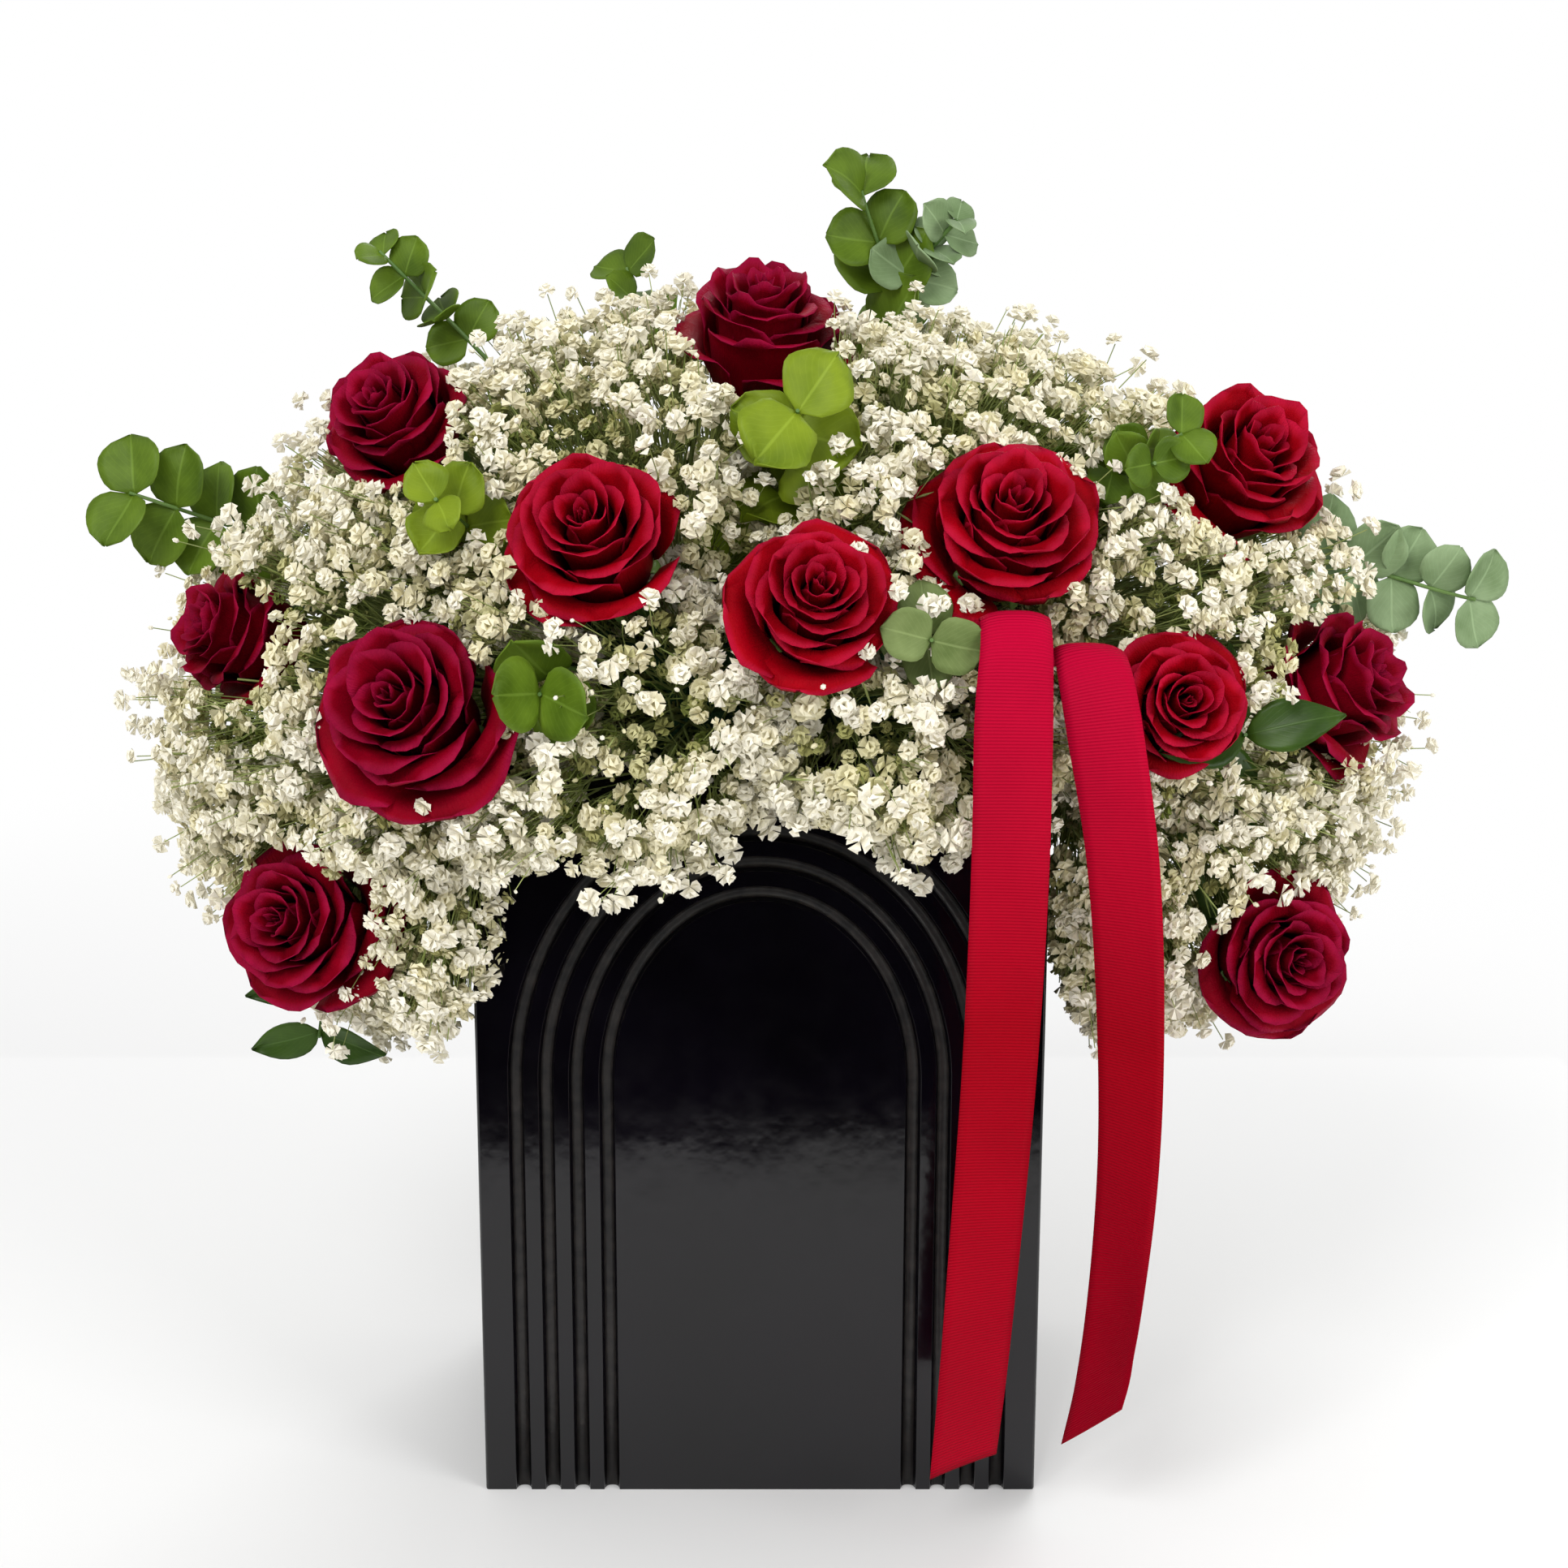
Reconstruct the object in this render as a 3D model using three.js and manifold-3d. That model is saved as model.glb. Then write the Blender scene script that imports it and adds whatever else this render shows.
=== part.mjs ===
// A florist's flower box: an open box of black lacquered board with arched grooves in its front,
// and a lift-out arrangement of red roses, gypsophila, eucalyptus and ribbon in wet foam.
// Millimetres, +Z up, the front faces -Y, and the origin is the middle of the box's underside.
import * as THREE from "three";
import { ConvexGeometry } from "three/addons/geometries/ConvexGeometry.js";
import { mergeVertices } from "three/addons/utils/BufferGeometryUtils.js";
import Module from "manifold-3d";

const wasm = await Module();
wasm.setup();

// ---- Driving dimensions ----
const BOX = { width: 200, depth: 150, height: 270, board: 8 };
const ARCH = { halfWidth: 54, springing: 155.5, rise: 69, pitch: 10.7, count: 4 };
const GROOVE = { width: 5, depth: 3.5, arcSteps: 16 };
const LINER = { clearance: 2, lift: 0.3, wall: 1.25, top: 260, rim: 1, rimHeight: 4 };
const FOAM = { width: 160, depth: 110, brickHeight: 230, top: 315 };
const STEM = { intoFoam: 30, roseRadius: 2.6, sprigRadius: 1.3, sprayRadius: 1.6, pickRadius: 1.8 };
const TUBE = { sides: 5, steps: 6 };
const ROSE = { headSides: 10, rise: 0.92, neck: 16, stemSides: 6 };
const LEAF = { thickness: 1.6, sides: 6 };
const RIBBON = { width: 25, thickness: 0.6, steps: 18 };
const GAP = 0.4; // between a piece and what is cut to clear it
// The blossom fills the space between the whole dome and the heart, which the stems cross.
const DOME = { middle: [5, -15, 275], half: [225, 125, 150] };
const HEART = { middle: [0, 0, 275], half: [128, 74, 78] };

const FOAM_MIDDLE = new THREE.Vector3(0, 0, 285);
const v3 = (p) => new THREE.Vector3(...p);

// ---- Materials ----
const paint = (color, roughness) =>
  new THREE.MeshStandardMaterial({ color, roughness, metalness: 0 });
const lacquer = () => paint(0x08080a, 0.12);
const linerPlastic = () => paint(0x1d2320, 0.35);
const wetFoam = () => paint(0x2f5a33, 0.95);
const petalRed = () => paint(0x8f0014, 0.55);
const stemGreen = () => paint(0x3f6b2a, 0.6);
const blossomWhite = () => paint(0xe9e6d4, 0.8);
const leafGreen = () => paint(0x56803c, 0.55);
const ruscusGreen = () => paint(0x23501c, 0.4);
const ribbonRed = () => paint(0xb0061f, 0.5);
const birch = () => paint(0xc9a877, 0.7);

// ---- Solids ----
function solidOf(geometry, matrix = new THREE.Matrix4()) {
  const bare = new THREE.BufferGeometry();
  const flat = geometry.index ? geometry.toNonIndexed() : geometry.clone();
  bare.setAttribute("position", flat.getAttribute("position"));
  const merged = mergeVertices(bare.applyMatrix4(matrix), 1e-3);
  return new wasm.Manifold(
    new wasm.Mesh({
      numProp: 3,
      vertProperties: merged.attributes.position.array,
      triVerts: new Uint32Array(merged.index.array),
    }),
  );
}

function geometryOf(solid) {
  const mesh = solid.getMesh();
  const geometry = new THREE.BufferGeometry();
  geometry.setAttribute("position", new THREE.BufferAttribute(mesh.vertProperties, 3));
  geometry.setIndex(new THREE.BufferAttribute(mesh.triVerts, 1));
  geometry.computeVertexNormals();
  return geometry;
}

const joined = (solids) => solids.reduce((all, one) => all.add(one));
const without = (solid, tools) => tools.reduce((left, tool) => left.subtract(tool), solid);

// What is left of a cut piece is its largest body; the crumbs are dropped.
function largest(solid) {
  const bodies = solid.decompose();
  return bodies.reduce((best, body) => (body.volume() > best.volume() ? body : best));
}

function block(low, high) {
  const size = v3(high).sub(v3(low));
  const middle = v3(high).add(v3(low)).multiplyScalar(0.5);
  const geometry = new THREE.BoxGeometry(size.x, size.y, size.z);
  return solidOf(geometry.translate(middle.x, middle.y, middle.z));
}

function ellipsoid([x, y, z], half, grow = 0, detail = 1) {
  const ball = new THREE.IcosahedronGeometry(1, detail);
  ball.scale(half[0] + grow, half[1] + grow, half[2] + grow);
  return solidOf(ball.translate(x, y, z));
}

function tube(curve, radius, sides = TUBE.sides, steps = TUBE.steps) {
  const section = new THREE.Shape();
  for (let i = 0; i < sides; i++) {
    const angle = (2 * Math.PI * i) / sides;
    const [x, y] = [radius * Math.cos(angle), radius * Math.sin(angle)];
    if (i === 0) section.moveTo(x, y);
    else section.lineTo(x, y);
  }
  const options = { steps, bevelEnabled: false, extrudePath: curve };
  return solidOf(new THREE.ExtrudeGeometry(section, options));
}

// Turns local +Y to the given direction and moves the origin to the given place.
function placed(direction, origin) {
  const up = new THREE.Vector3(0, 1, 0);
  const turn = new THREE.Quaternion().setFromUnitVectors(up, direction);
  return new THREE.Matrix4().compose(origin, turn, new THREE.Vector3(1, 1, 1));
}

function piece(name, solid, material) {
  const mesh = new THREE.Mesh(geometryOf(solid), material);
  mesh.name = name;
  return mesh;
}

function boxPiece(name, [width, depth, height], [x, y, z], material) {
  const mesh = new THREE.Mesh(new THREE.BoxGeometry(width, depth, height), material);
  mesh.name = name;
  mesh.position.set(x, y, z);
  return mesh;
}

// ---- The box: five boards glued edge to face ----
// The arch's outline at a distance outside the innermost one: two legs and half an ellipse's offset.
function archPoints(offset) {
  const points = [new THREE.Vector2(ARCH.halfWidth + offset, -1)];
  for (let i = 0; i <= GROOVE.arcSteps; i++) {
    const angle = (Math.PI * i) / GROOVE.arcSteps;
    const onArch = new THREE.Vector2(
      ARCH.halfWidth * Math.cos(angle),
      ARCH.springing + ARCH.rise * Math.sin(angle),
    );
    const outward = new THREE.Vector2(
      Math.cos(angle) / ARCH.halfWidth,
      Math.sin(angle) / ARCH.rise,
    ).normalize();
    points.push(onArch.addScaledVector(outward, offset));
  }
  points.push(new THREE.Vector2(-ARCH.halfWidth - offset, -1));
  return points;
}

// One cutter for each groove, standing proud of the face it cuts.
function grooveCutter(index) {
  const middle = index * ARCH.pitch;
  const outer = archPoints(middle + GROOVE.width / 2);
  const inner = archPoints(middle - GROOVE.width / 2).reverse();
  const options = { depth: GROOVE.depth + 1, bevelEnabled: false };
  const cutter = new THREE.ExtrudeGeometry(new THREE.Shape([...outer, ...inner]), options);
  cutter.rotateX(Math.PI / 2);
  return solidOf(cutter.translate(0, -BOX.depth / 2 + GROOVE.depth, 0));
}

function frontPanel() {
  const back = -BOX.depth / 2 + BOX.board;
  const board = block([-BOX.width / 2, -BOX.depth / 2, 0], [BOX.width / 2, back, BOX.height]);
  const cutters = Array.from({ length: ARCH.count }, (_, i) => grooveCutter(i));
  return piece("front_panel", without(board, cutters), lacquer());
}

function flowerBox() {
  const group = new THREE.Group();
  const { width, depth, height, board } = BOX;
  const innerDepth = depth - 2 * board;
  const sideX = (width - board) / 2;
  const side = [board, innerDepth, height];
  group.add(
    frontPanel(),
    boxPiece("back_panel", [width, board, height], [0, (depth - board) / 2, height / 2], lacquer()),
    boxPiece("left_panel", side, [-sideX, 0, height / 2], lacquer()),
    boxPiece("right_panel", side, [sideX, 0, height / 2], lacquer()),
    boxPiece("base_panel", [width - 2 * board, innerDepth, board], [0, 0, board / 2], lacquer()),
  );
  return group;
}

// ---- The lift-out insert: a plastic liner and three pieces of foam ----
function liner() {
  const x = BOX.width / 2 - BOX.board - LINER.clearance;
  const y = BOX.depth / 2 - BOX.board - LINER.clearance;
  const [floor, wall, rim] = [BOX.board + LINER.lift, LINER.wall, LINER.rim];
  const shell = block([-x, -y, floor], [x, y, LINER.top]);
  const lip = block([-x - rim, -y - rim, LINER.top - LINER.rimHeight], [x + rim, y + rim, LINER.top]);
  const hollow = block([wall - x, wall - y, floor + wall], [x - wall, y - wall, LINER.top + 1]);
  return piece("liner", shell.add(lip).subtract(hollow), linerPlastic());
}

function foamBricks(stems) {
  const { width, depth, brickHeight, top } = FOAM;
  const floor = BOX.board + LINER.lift + LINER.wall + GAP;
  const standing = [width / 2, depth, brickHeight];
  const z = floor + brickHeight / 2;
  const laid = block([-width / 2, -depth / 2, floor + brickHeight], [width / 2, depth / 2, top]);
  return [
    boxPiece("foam_brick_left", standing, [-width / 4, 0, z], wetFoam()),
    boxPiece("foam_brick_right", standing, [width / 4, 0, z], wetFoam()),
    piece("foam_brick_top", largest(without(laid, stems)), wetFoam()),
  ];
}

// A stem runs from the base of what it carries, back along the way that faces, over the box's rim
// if need be, and into the foam.
function stemCurve(base, facing, neck, over) {
  const target = over ? v3(over) : base;
  const way = target.clone().sub(FOAM_MIDDLE).normalize();
  const reach = Math.min(
    FOAM.width / 2 / Math.max(Math.abs(way.x), 1e-6),
    FOAM.depth / 2 / Math.max(Math.abs(way.y), 1e-6),
    (FOAM.top - FOAM_MIDDLE.z) / Math.max(way.z, 1e-6),
  );
  const entry = FOAM_MIDDLE.clone().addScaledVector(way, reach);
  const tip = FOAM_MIDDLE.clone().addScaledVector(way, Math.max(reach - STEM.intoFoam, 0.6 * reach));
  const bend = base.clone().addScaledVector(facing, -neck);
  const points = over ? [tip, entry, v3(over), bend, base] : [tip, entry, bend, base];
  return new THREE.CatmullRomCurve3(points, false, "centripetal");
}

// ---- Roses ----
// Each has its head's middle, the way it faces, its diameter and, for one that hangs below the
// rim, the place where its stem passes over the rim.
const ROSES = [
  { at: [0, -22, 412], facing: [0.05, -0.45, 0.9], across: 52 },
  { at: [-125, -40, 383], facing: [-0.35, -0.7, 0.6], across: 48 },
  { at: [-53, -108, 350], facing: [-0.16, -0.82, 0.55], across: 54 },
  { at: [17, -132, 333], facing: [0.1, -0.84, 0.52], across: 46 },
  { at: [79, -104, 354], facing: [0.1, -0.8, 0.6], across: 53 },
  { at: [166, -42, 367], facing: [0.3, -0.72, 0.6], across: 54 },
  { at: [-184, -28, 307], facing: [-0.78, -0.5, 0.35], across: 46 },
  { at: [-112, -116, 295], facing: [-0.27, -0.83, 0.45], across: 57 },
  { at: [-158, -72, 213], facing: [-0.38, -0.85, 0.3], across: 51, over: [-118, -30, 296] },
  { at: [136, -106, 296], facing: [0.12, -0.94, 0.3], across: 44 },
  { at: [200, -48, 291], facing: [0.72, -0.52, 0.42], across: 50 },
  { at: [179, -76, 203], facing: [0.3, -0.92, 0.12], across: 47, over: [122, -32, 297] },
];

// The head's outline, as shares of its radius and of its height.
const HEAD_OUTLINE = [
  [0, 0],
  [0.3, 0.03],
  [0.78, 0.3],
  [0.98, 0.62],
  [0.96, 0.85],
  [0.55, 1],
  [0, 0.94],
];

// The space a head needs: an eight-sided cup around the outline above.
const HEAD_SPACE = [
  [0, -0.02],
  [0.5, -0.02],
  [1.12, 0.45],
  [1.12, 0.9],
  [0.7, 1.05],
  [0, 1.05],
];

function headGeometry(across, outline = HEAD_OUTLINE, sides = ROSE.headSides) {
  const places = outline.map(([r, h]) => new THREE.Vector2((r * across) / 2, h * across * ROSE.rise));
  return new THREE.LatheGeometry(places, sides);
}

function roseSolids({ at, facing, across, over }) {
  const way = v3(facing).normalize();
  const base = v3(at).addScaledVector(way, (-across * ROSE.rise) / 2);
  const neckTop = base.clone().addScaledVector(way, -GAP);
  const curve = stemCurve(neckTop, way, ROSE.neck, over);
  const where = placed(way, base);
  return {
    where,
    curve,
    stem: tube(curve, STEM.roseRadius, ROSE.stemSides),
    hole: tube(curve, STEM.roseRadius + GAP, ROSE.stemSides),
    space: solidOf(headGeometry(across, HEAD_SPACE, 8), where),
  };
}

// ---- Eucalyptus and ruscus sprigs ----
// A sprig is a curved stem with leaves set along its outer part in crossed pairs or singly. Each
// has its stem's last two places, its leaf size, and the share of the stem that is bare.
const SPRIGS = [
  { name: "eucalyptus_far_left", from: [-176, 12, 336], to: [-234, -12, 360], leaf: 24, nodes: 4 },
  { name: "eucalyptus_top_left", from: [-92, -8, 398], to: [-134, -14, 442], leaf: 17, nodes: 5 },
  { name: "eucalyptus_top", from: [48, 10, 416], to: [52, -2, 463], leaf: 28, nodes: 5 },
  { name: "eucalyptus_centre", from: [10, -74, 372], to: [6, -108, 392], leaf: 25, nodes: 3 },
  { name: "eucalyptus_left", from: [-92, -78, 348], to: [-104, -110, 364], leaf: 20, nodes: 3 },
  { name: "eucalyptus_low_left", from: [-64, -92, 306], to: [-70, -130, 303], leaf: 25, nodes: 2 },
  { name: "eucalyptus_low_right", from: [50, -95, 318], to: [54, -134, 322], leaf: 23, nodes: 3 },
  { name: "eucalyptus_right", from: [112, -62, 366], to: [133, -92, 378], leaf: 19, nodes: 4 },
  { name: "eucalyptus_far_right", from: [186, -22, 334], to: [258, -32, 322], leaf: 20, nodes: 5 },
  { name: "eucalyptus_back", from: [-40, 60, 392], to: [-52, 82, 436], leaf: 20, nodes: 5 },
  { name: "ruscus_left", from: [-156, -6, 216], to: [-160, -34, 166], leaf: 28, nodes: 2, over: [-114, 6, 302] },
  { name: "ruscus_right", from: [150, -74, 284], to: [176, -92, 279], leaf: 30, nodes: 2 },
];

function sprigCurve({ from, to, over }) {
  const base = v3(to);
  const facing = v3(to).sub(v3(from)).normalize();
  return stemCurve(base, facing, v3(to).distanceTo(v3(from)), over);
}

// A leaf is a thin lens whose base is on the stem.
function leafGeometry({ root, way, normal }, length, width) {
  const lens = new THREE.SphereGeometry(1, LEAF.sides, 2);
  lens.scale(width / 2, LEAF.thickness / 2, length / 2);
  const side = new THREE.Vector3().crossVectors(normal, way);
  const frame = new THREE.Matrix4().makeBasis(side, normal, way);
  frame.setPosition(root.clone().addScaledVector(way, length / 2 - 1));
  return lens.applyMatrix4(frame);
}

// The leaves stand in pairs, each pair turned from the last, and shrink towards the tip.
function sprigLeaves(curve, { leaf, nodes }) {
  const leafy = Math.min(0.62, ((nodes - 0.4) * leaf * 0.95) / curve.getLength());
  const leaves = [];
  for (let i = 0; i < nodes; i++) {
    const share = 0.99 - leafy + (leafy * i) / Math.max(nodes - 1, 1);
    const step = Math.floor(share * TUBE.steps);
    const before = curve.getPointAt(step / TUBE.steps);
    const after = curve.getPointAt((step + 1) / TUBE.steps);
    const root = before.clone().lerp(after, share * TUBE.steps - step);
    const along = after.clone().sub(before).normalize();
    const across = new THREE.Vector3(0, -1, 0).cross(along).normalize();
    across.applyAxisAngle(along, ((i % 2) * Math.PI) / 2 + 0.3);
    const length = leaf * (1 - 0.09 * i);
    for (const sign of [-1, 1]) {
      const way = across.clone().multiplyScalar(sign).addScaledVector(along, 0.45).normalize();
      const edge = new THREE.Vector3().crossVectors(way, along).normalize();
      const normal = new THREE.Vector3().crossVectors(way, edge).normalize();
      leaves.push(leafGeometry({ root, way, normal }, length, length * 0.86));
    }
  }
  return leaves;
}

function sprigSolids(sprig) {
  const curve = sprigCurve(sprig);
  const leaves = sprigLeaves(curve, sprig);
  const corners = leaves.flatMap((leaf) => {
    const places = leaf.getAttribute("position");
    const points = Array.from({ length: places.count }, (_, i) =>
      new THREE.Vector3().fromBufferAttribute(places, i),
    );
    return points;
  });
  const middle = corners.reduce((sum, p) => sum.add(p), new THREE.Vector3());
  middle.divideScalar(corners.length);
  const spread = corners.map((p) => p.clone().sub(middle).multiplyScalar(1.06).add(middle));
  return {
    solid: joined([tube(curve, STEM.sprigRadius), ...leaves.map((leaf) => solidOf(leaf))]),
    hole: tube(curve, STEM.sprigRadius + GAP),
    space: solidOf(new ConvexGeometry(spread)),
  };
}

// ---- Gypsophila ----
// Each spray is one airy lump of blossom on a stem: its middle, its three half sizes and, for one
// that hangs below the rim, the place where its stem passes over the rim.
const SPRAYS = [
  { name: "gypsophila_left_low", at: [-152, -36, 214], half: [80, 82, 60], over: [-104, 42, 303] },
  { name: "gypsophila_right_low", at: [168, -34, 212], half: [80, 82, 62], over: [114, 28, 303] },
  { name: "gypsophila_left", at: [-138, -22, 280], half: [98, 104, 76] },
  { name: "gypsophila_right", at: [152, -12, 298], half: [96, 108, 70] },
  { name: "gypsophila_front_left", at: [-58, -92, 290], half: [72, 56, 54] },
  { name: "gypsophila_front_right", at: [50, -94, 296], half: [70, 54, 50] },
  { name: "gypsophila_top_left", at: [-72, -30, 362], half: [94, 104, 78] },
  { name: "gypsophila_top_right", at: [76, -28, 366], half: [96, 104, 78] },
  { name: "gypsophila_back_left", at: [-92, 62, 292], half: [108, 68, 90] },
  { name: "gypsophila_back_right", at: [92, 60, 296], half: [112, 68, 90] },
];

const lump = ({ at, half }, grow = 0) => ellipsoid(at, half, grow);

function spraySolids(spray) {
  const from = spray.over ? v3(spray.over) : FOAM_MIDDLE;
  const end = v3(spray.at).lerp(from, spray.over ? 0.45 : 0);
  const way = end.clone().sub(from).normalize();
  const curve = stemCurve(end, way, 20, spray.over);
  return { stem: tube(curve, STEM.sprayRadius), hole: tube(curve, STEM.sprayRadius + GAP) };
}

// ---- Ribbon: one length of ribbon folded over a wooden pick, so that two tails hang ----
// A tail's side view is a list of places (y, z); its sway is how far it stands off to the side.
const TAIL_LEFT = {
  name: "ribbon_tail_left",
  side: [[-118, 327], [-130, 331], [-137, 322], [-136, 296], [-133, 250], [-127, 180], [-121, 100], [-118, 34]],
  x: 80,
  sway: (z) => 0.9 - 11 * Math.max(0, (325 - z) / 290) ** 1.6,
};
const TAIL_RIGHT = {
  name: "ribbon_tail_right",
  side: [[-116, 313], [-127, 321], [-135, 314], [-136, 290], [-132, 240], [-125, 170], [-117, 95], [-110, 30]],
  x: 106,
  sway: (z) => 22.5 * Math.sin((Math.PI * (322 - z)) / 360) - 1,
};
const PICK = { from: [93.5, -112, 320], to: [40, -30, 293] };
const FOLD_SPACE = [
  [54, -150, 240],
  [128, -113, 330],
];

function ribbonTail({ name, side, x, sway }) {
  const middle = new THREE.SplineCurve(side.map((p) => new THREE.Vector2(...p)));
  const [outer, inner] = [[], []];
  for (let i = 0; i <= RIBBON.steps; i++) {
    const place = middle.getPointAt(i / RIBBON.steps);
    const along = middle.getTangentAt(i / RIBBON.steps);
    const across = new THREE.Vector2(-along.y, along.x).multiplyScalar(RIBBON.thickness / 2);
    outer.push(place.clone().add(across));
    inner.unshift(place.clone().sub(across));
  }
  const options = { depth: RIBBON.width, bevelEnabled: false };
  const strip = new THREE.ExtrudeGeometry(new THREE.Shape([...outer, ...inner]), options);
  strip.rotateY(Math.PI / 2).rotateX(Math.PI / 2);
  const places = strip.getAttribute("position");
  for (let i = 0; i < places.count; i++) {
    const z = places.getZ(i);
    places.setX(i, places.getX(i) + x - RIBBON.width / 2 + sway(z));
  }
  return piece(name, solidOf(strip), ribbonRed());
}

function ribbonPick() {
  const curve = new THREE.LineCurve3(v3(PICK.from), v3(PICK.to));
  return {
    stick: tube(curve, STEM.pickRadius, TUBE.sides, 1),
    hole: tube(curve, STEM.pickRadius + GAP, TUBE.sides, 1),
  };
}

// ---- The arrangement ----
// What no blossom may fill: the box with its rim, the heart, the foam and the ribbon's fold.
function keptClear() {
  const clear = 3;
  const [x, y] = [BOX.width / 2 + clear, BOX.depth / 2 + clear];
  const [foamX, foamY] = [FOAM.width / 2 + 1, FOAM.depth / 2 + 1];
  return [
    block([-x, -y, -1], [x, y, BOX.height + clear]),
    block([-foamX, -foamY, BOX.height], [foamX, foamY, FOAM.top + 1]),
    block(...FOLD_SPACE),
    ellipsoid(HEART.middle, HEART.half),
  ];
}

function arrangement() {
  const group = new THREE.Group();
  const roses = ROSES.map(roseSolids);
  const sprigs = SPRIGS.map(sprigSolids);
  const sprays = SPRAYS.map(spraySolids);
  const pick = ribbonPick();
  const holes = [...roses, ...sprigs, ...sprays, pick].map((one) => one.hole);
  group.add(liner(), ...foamBricks(holes));

  ROSES.forEach(({ across }, i) => {
    const number = String(i + 1).padStart(2, "0");
    const head = new THREE.Mesh(headGeometry(across), petalRed());
    head.name = `rose_head_${number}`;
    roses[i].where.decompose(head.position, head.quaternion, head.scale);
    group.add(head, piece(`rose_stem_${number}`, roses[i].stem, stemGreen()));
  });
  SPRIGS.forEach(({ name }, i) => {
    const material = name.startsWith("ruscus") ? ruscusGreen() : leafGreen();
    group.add(piece(name, sprigs[i].solid, material));
  });

  const clear = keptClear();
  const dome = ellipsoid(DOME.middle, DOME.half, 0, 2);
  const spaces = [...roses, ...sprigs].flatMap((one) => [one.space, one.hole]);
  SPRAYS.forEach((spray, i) => {
    const earlier = SPRAYS.slice(0, i).map((other) => lump(other, GAP));
    const others = sprays.filter((_, j) => j !== i).map((other) => other.hole);
    const cutters = [...clear, ...earlier, ...others, ...spaces, pick.hole];
    const blossom = largest(without(lump(spray).intersect(dome), cutters));
    group.add(piece(spray.name, largest(blossom.add(sprays[i].stem)), blossomWhite()));
  });
  group.add(ribbonTail(TAIL_LEFT), ribbonTail(TAIL_RIGHT));
  group.add(piece("ribbon_pick", pick.stick, birch()));
  return group;
}

const flowerBoxArrangement = new THREE.Group();
flowerBoxArrangement.add(flowerBox(), arrangement());
export default flowerBoxArrangement;
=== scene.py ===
"""A florist's flower box: a black lacquered box with arched grooves, filled with red roses,
gypsophila and eucalyptus in a lift-out liner, with a red ribbon hanging down its front.

Metres, +Z up, the grooved front faces -Y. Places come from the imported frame."""
import math
import random

import bmesh
import bpy
import numpy as np
from mathutils import Matrix, Vector, noise
from mathutils.bvhtree import BVHTree
from mathutils.kdtree import KDTree


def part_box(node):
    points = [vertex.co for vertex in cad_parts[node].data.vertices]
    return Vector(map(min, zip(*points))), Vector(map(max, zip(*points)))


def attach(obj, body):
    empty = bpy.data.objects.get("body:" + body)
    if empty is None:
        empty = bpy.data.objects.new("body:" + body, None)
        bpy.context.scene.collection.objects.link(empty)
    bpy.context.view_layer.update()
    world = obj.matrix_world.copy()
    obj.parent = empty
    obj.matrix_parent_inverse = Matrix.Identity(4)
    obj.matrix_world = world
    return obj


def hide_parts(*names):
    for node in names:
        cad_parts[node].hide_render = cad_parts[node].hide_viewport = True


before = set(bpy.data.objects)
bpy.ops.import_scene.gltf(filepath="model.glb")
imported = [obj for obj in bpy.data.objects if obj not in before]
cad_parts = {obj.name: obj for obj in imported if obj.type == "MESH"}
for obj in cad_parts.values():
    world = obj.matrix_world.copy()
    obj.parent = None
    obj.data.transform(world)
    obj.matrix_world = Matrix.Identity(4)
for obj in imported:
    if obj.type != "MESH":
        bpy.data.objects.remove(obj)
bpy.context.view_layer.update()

# ---- The camera stands before the grooved front, level with the upper flowers, and looks a
# little down. Its lens is shifted, because the box stands a little off the middle of the frame.

front_low, front_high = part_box("front_panel")
CAMERA_BACK, CAMERA_HEIGHT, LOOKS_DOWN = 0.8246, 0.4385, 12  # from the front, the floor, level
lens = bpy.data.cameras.new("camera")
lens.sensor_width = 36
lens.lens = 56.46
lens.shift_x = 0.0153
camera = bpy.data.objects.new("camera", lens)
camera.location = (0, front_low.y - CAMERA_BACK, CAMERA_HEIGHT)
camera.rotation_euler = (math.radians(90 - LOOKS_DOWN), 0, 0)
bpy.context.collection.objects.link(camera)
bpy.context.scene.camera = camera

# ---- The studio: a pale floor that runs off to white, a large soft light to the upper left, a
# weaker one to the right, and an even white sky. A black card lies round the box, 350 mm off,
# and only mirrors see it, so the lacquer shows the near floor below and black above.


def painted(name, roughness):
    """A new material with nodes, its tree and its Principled shader."""
    material = bpy.data.materials.new(name)
    material.use_nodes = True
    shader = material.node_tree.nodes["Principled BSDF"]
    shader.inputs["Roughness"].default_value = roughness
    return material, material.node_tree, shader


def node(tree, kind, settings=(), **inputs):
    """Adds a shader node. Inputs are numbers, colours or the sockets they are linked from."""
    made = tree.nodes.new("ShaderNode" + kind)
    for key, value in dict(settings).items():
        setattr(made, key, value)
    for key, value in inputs.items():
        socket = made.inputs[int(key[1:]) if key[1:].isdigit() else key.replace("_", " ")]
        if isinstance(value, bpy.types.NodeSocket):
            tree.links.new(value, socket)
        else:
            socket.default_value = value
    return made


def in_place(tree):
    """Places in the object's own metres."""
    return node(tree, "TexCoord").outputs["Object"]


def cloud(tree, place, scale, detail=2.0, distortion=0.0):
    """Soft noise, with about scale lumps to the metre."""
    made = node(tree, "TexNoise", Vector=place, Scale=scale, Detail=detail, Distortion=distortion)
    return made.outputs["Fac"]


def maths(tree, operation, a, b=0.5, c=0.5):
    return node(tree, "Math", {"operation": operation}, _0=a, _1=b, _2=c).outputs["Value"]


def ranged(tree, factor, low, high, at_low, at_high):
    """Maps a factor that runs from low to high to one from at_low to at_high."""
    made = node(tree, "MapRange", _0=factor, _1=low, _2=high, _3=at_low, _4=at_high)
    return made.outputs["Result"]


def dimmed(tree, colour, share):
    return node(tree, "VectorMath", {"operation": "SCALE"}, _0=colour, Scale=share).outputs["Vector"]


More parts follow.
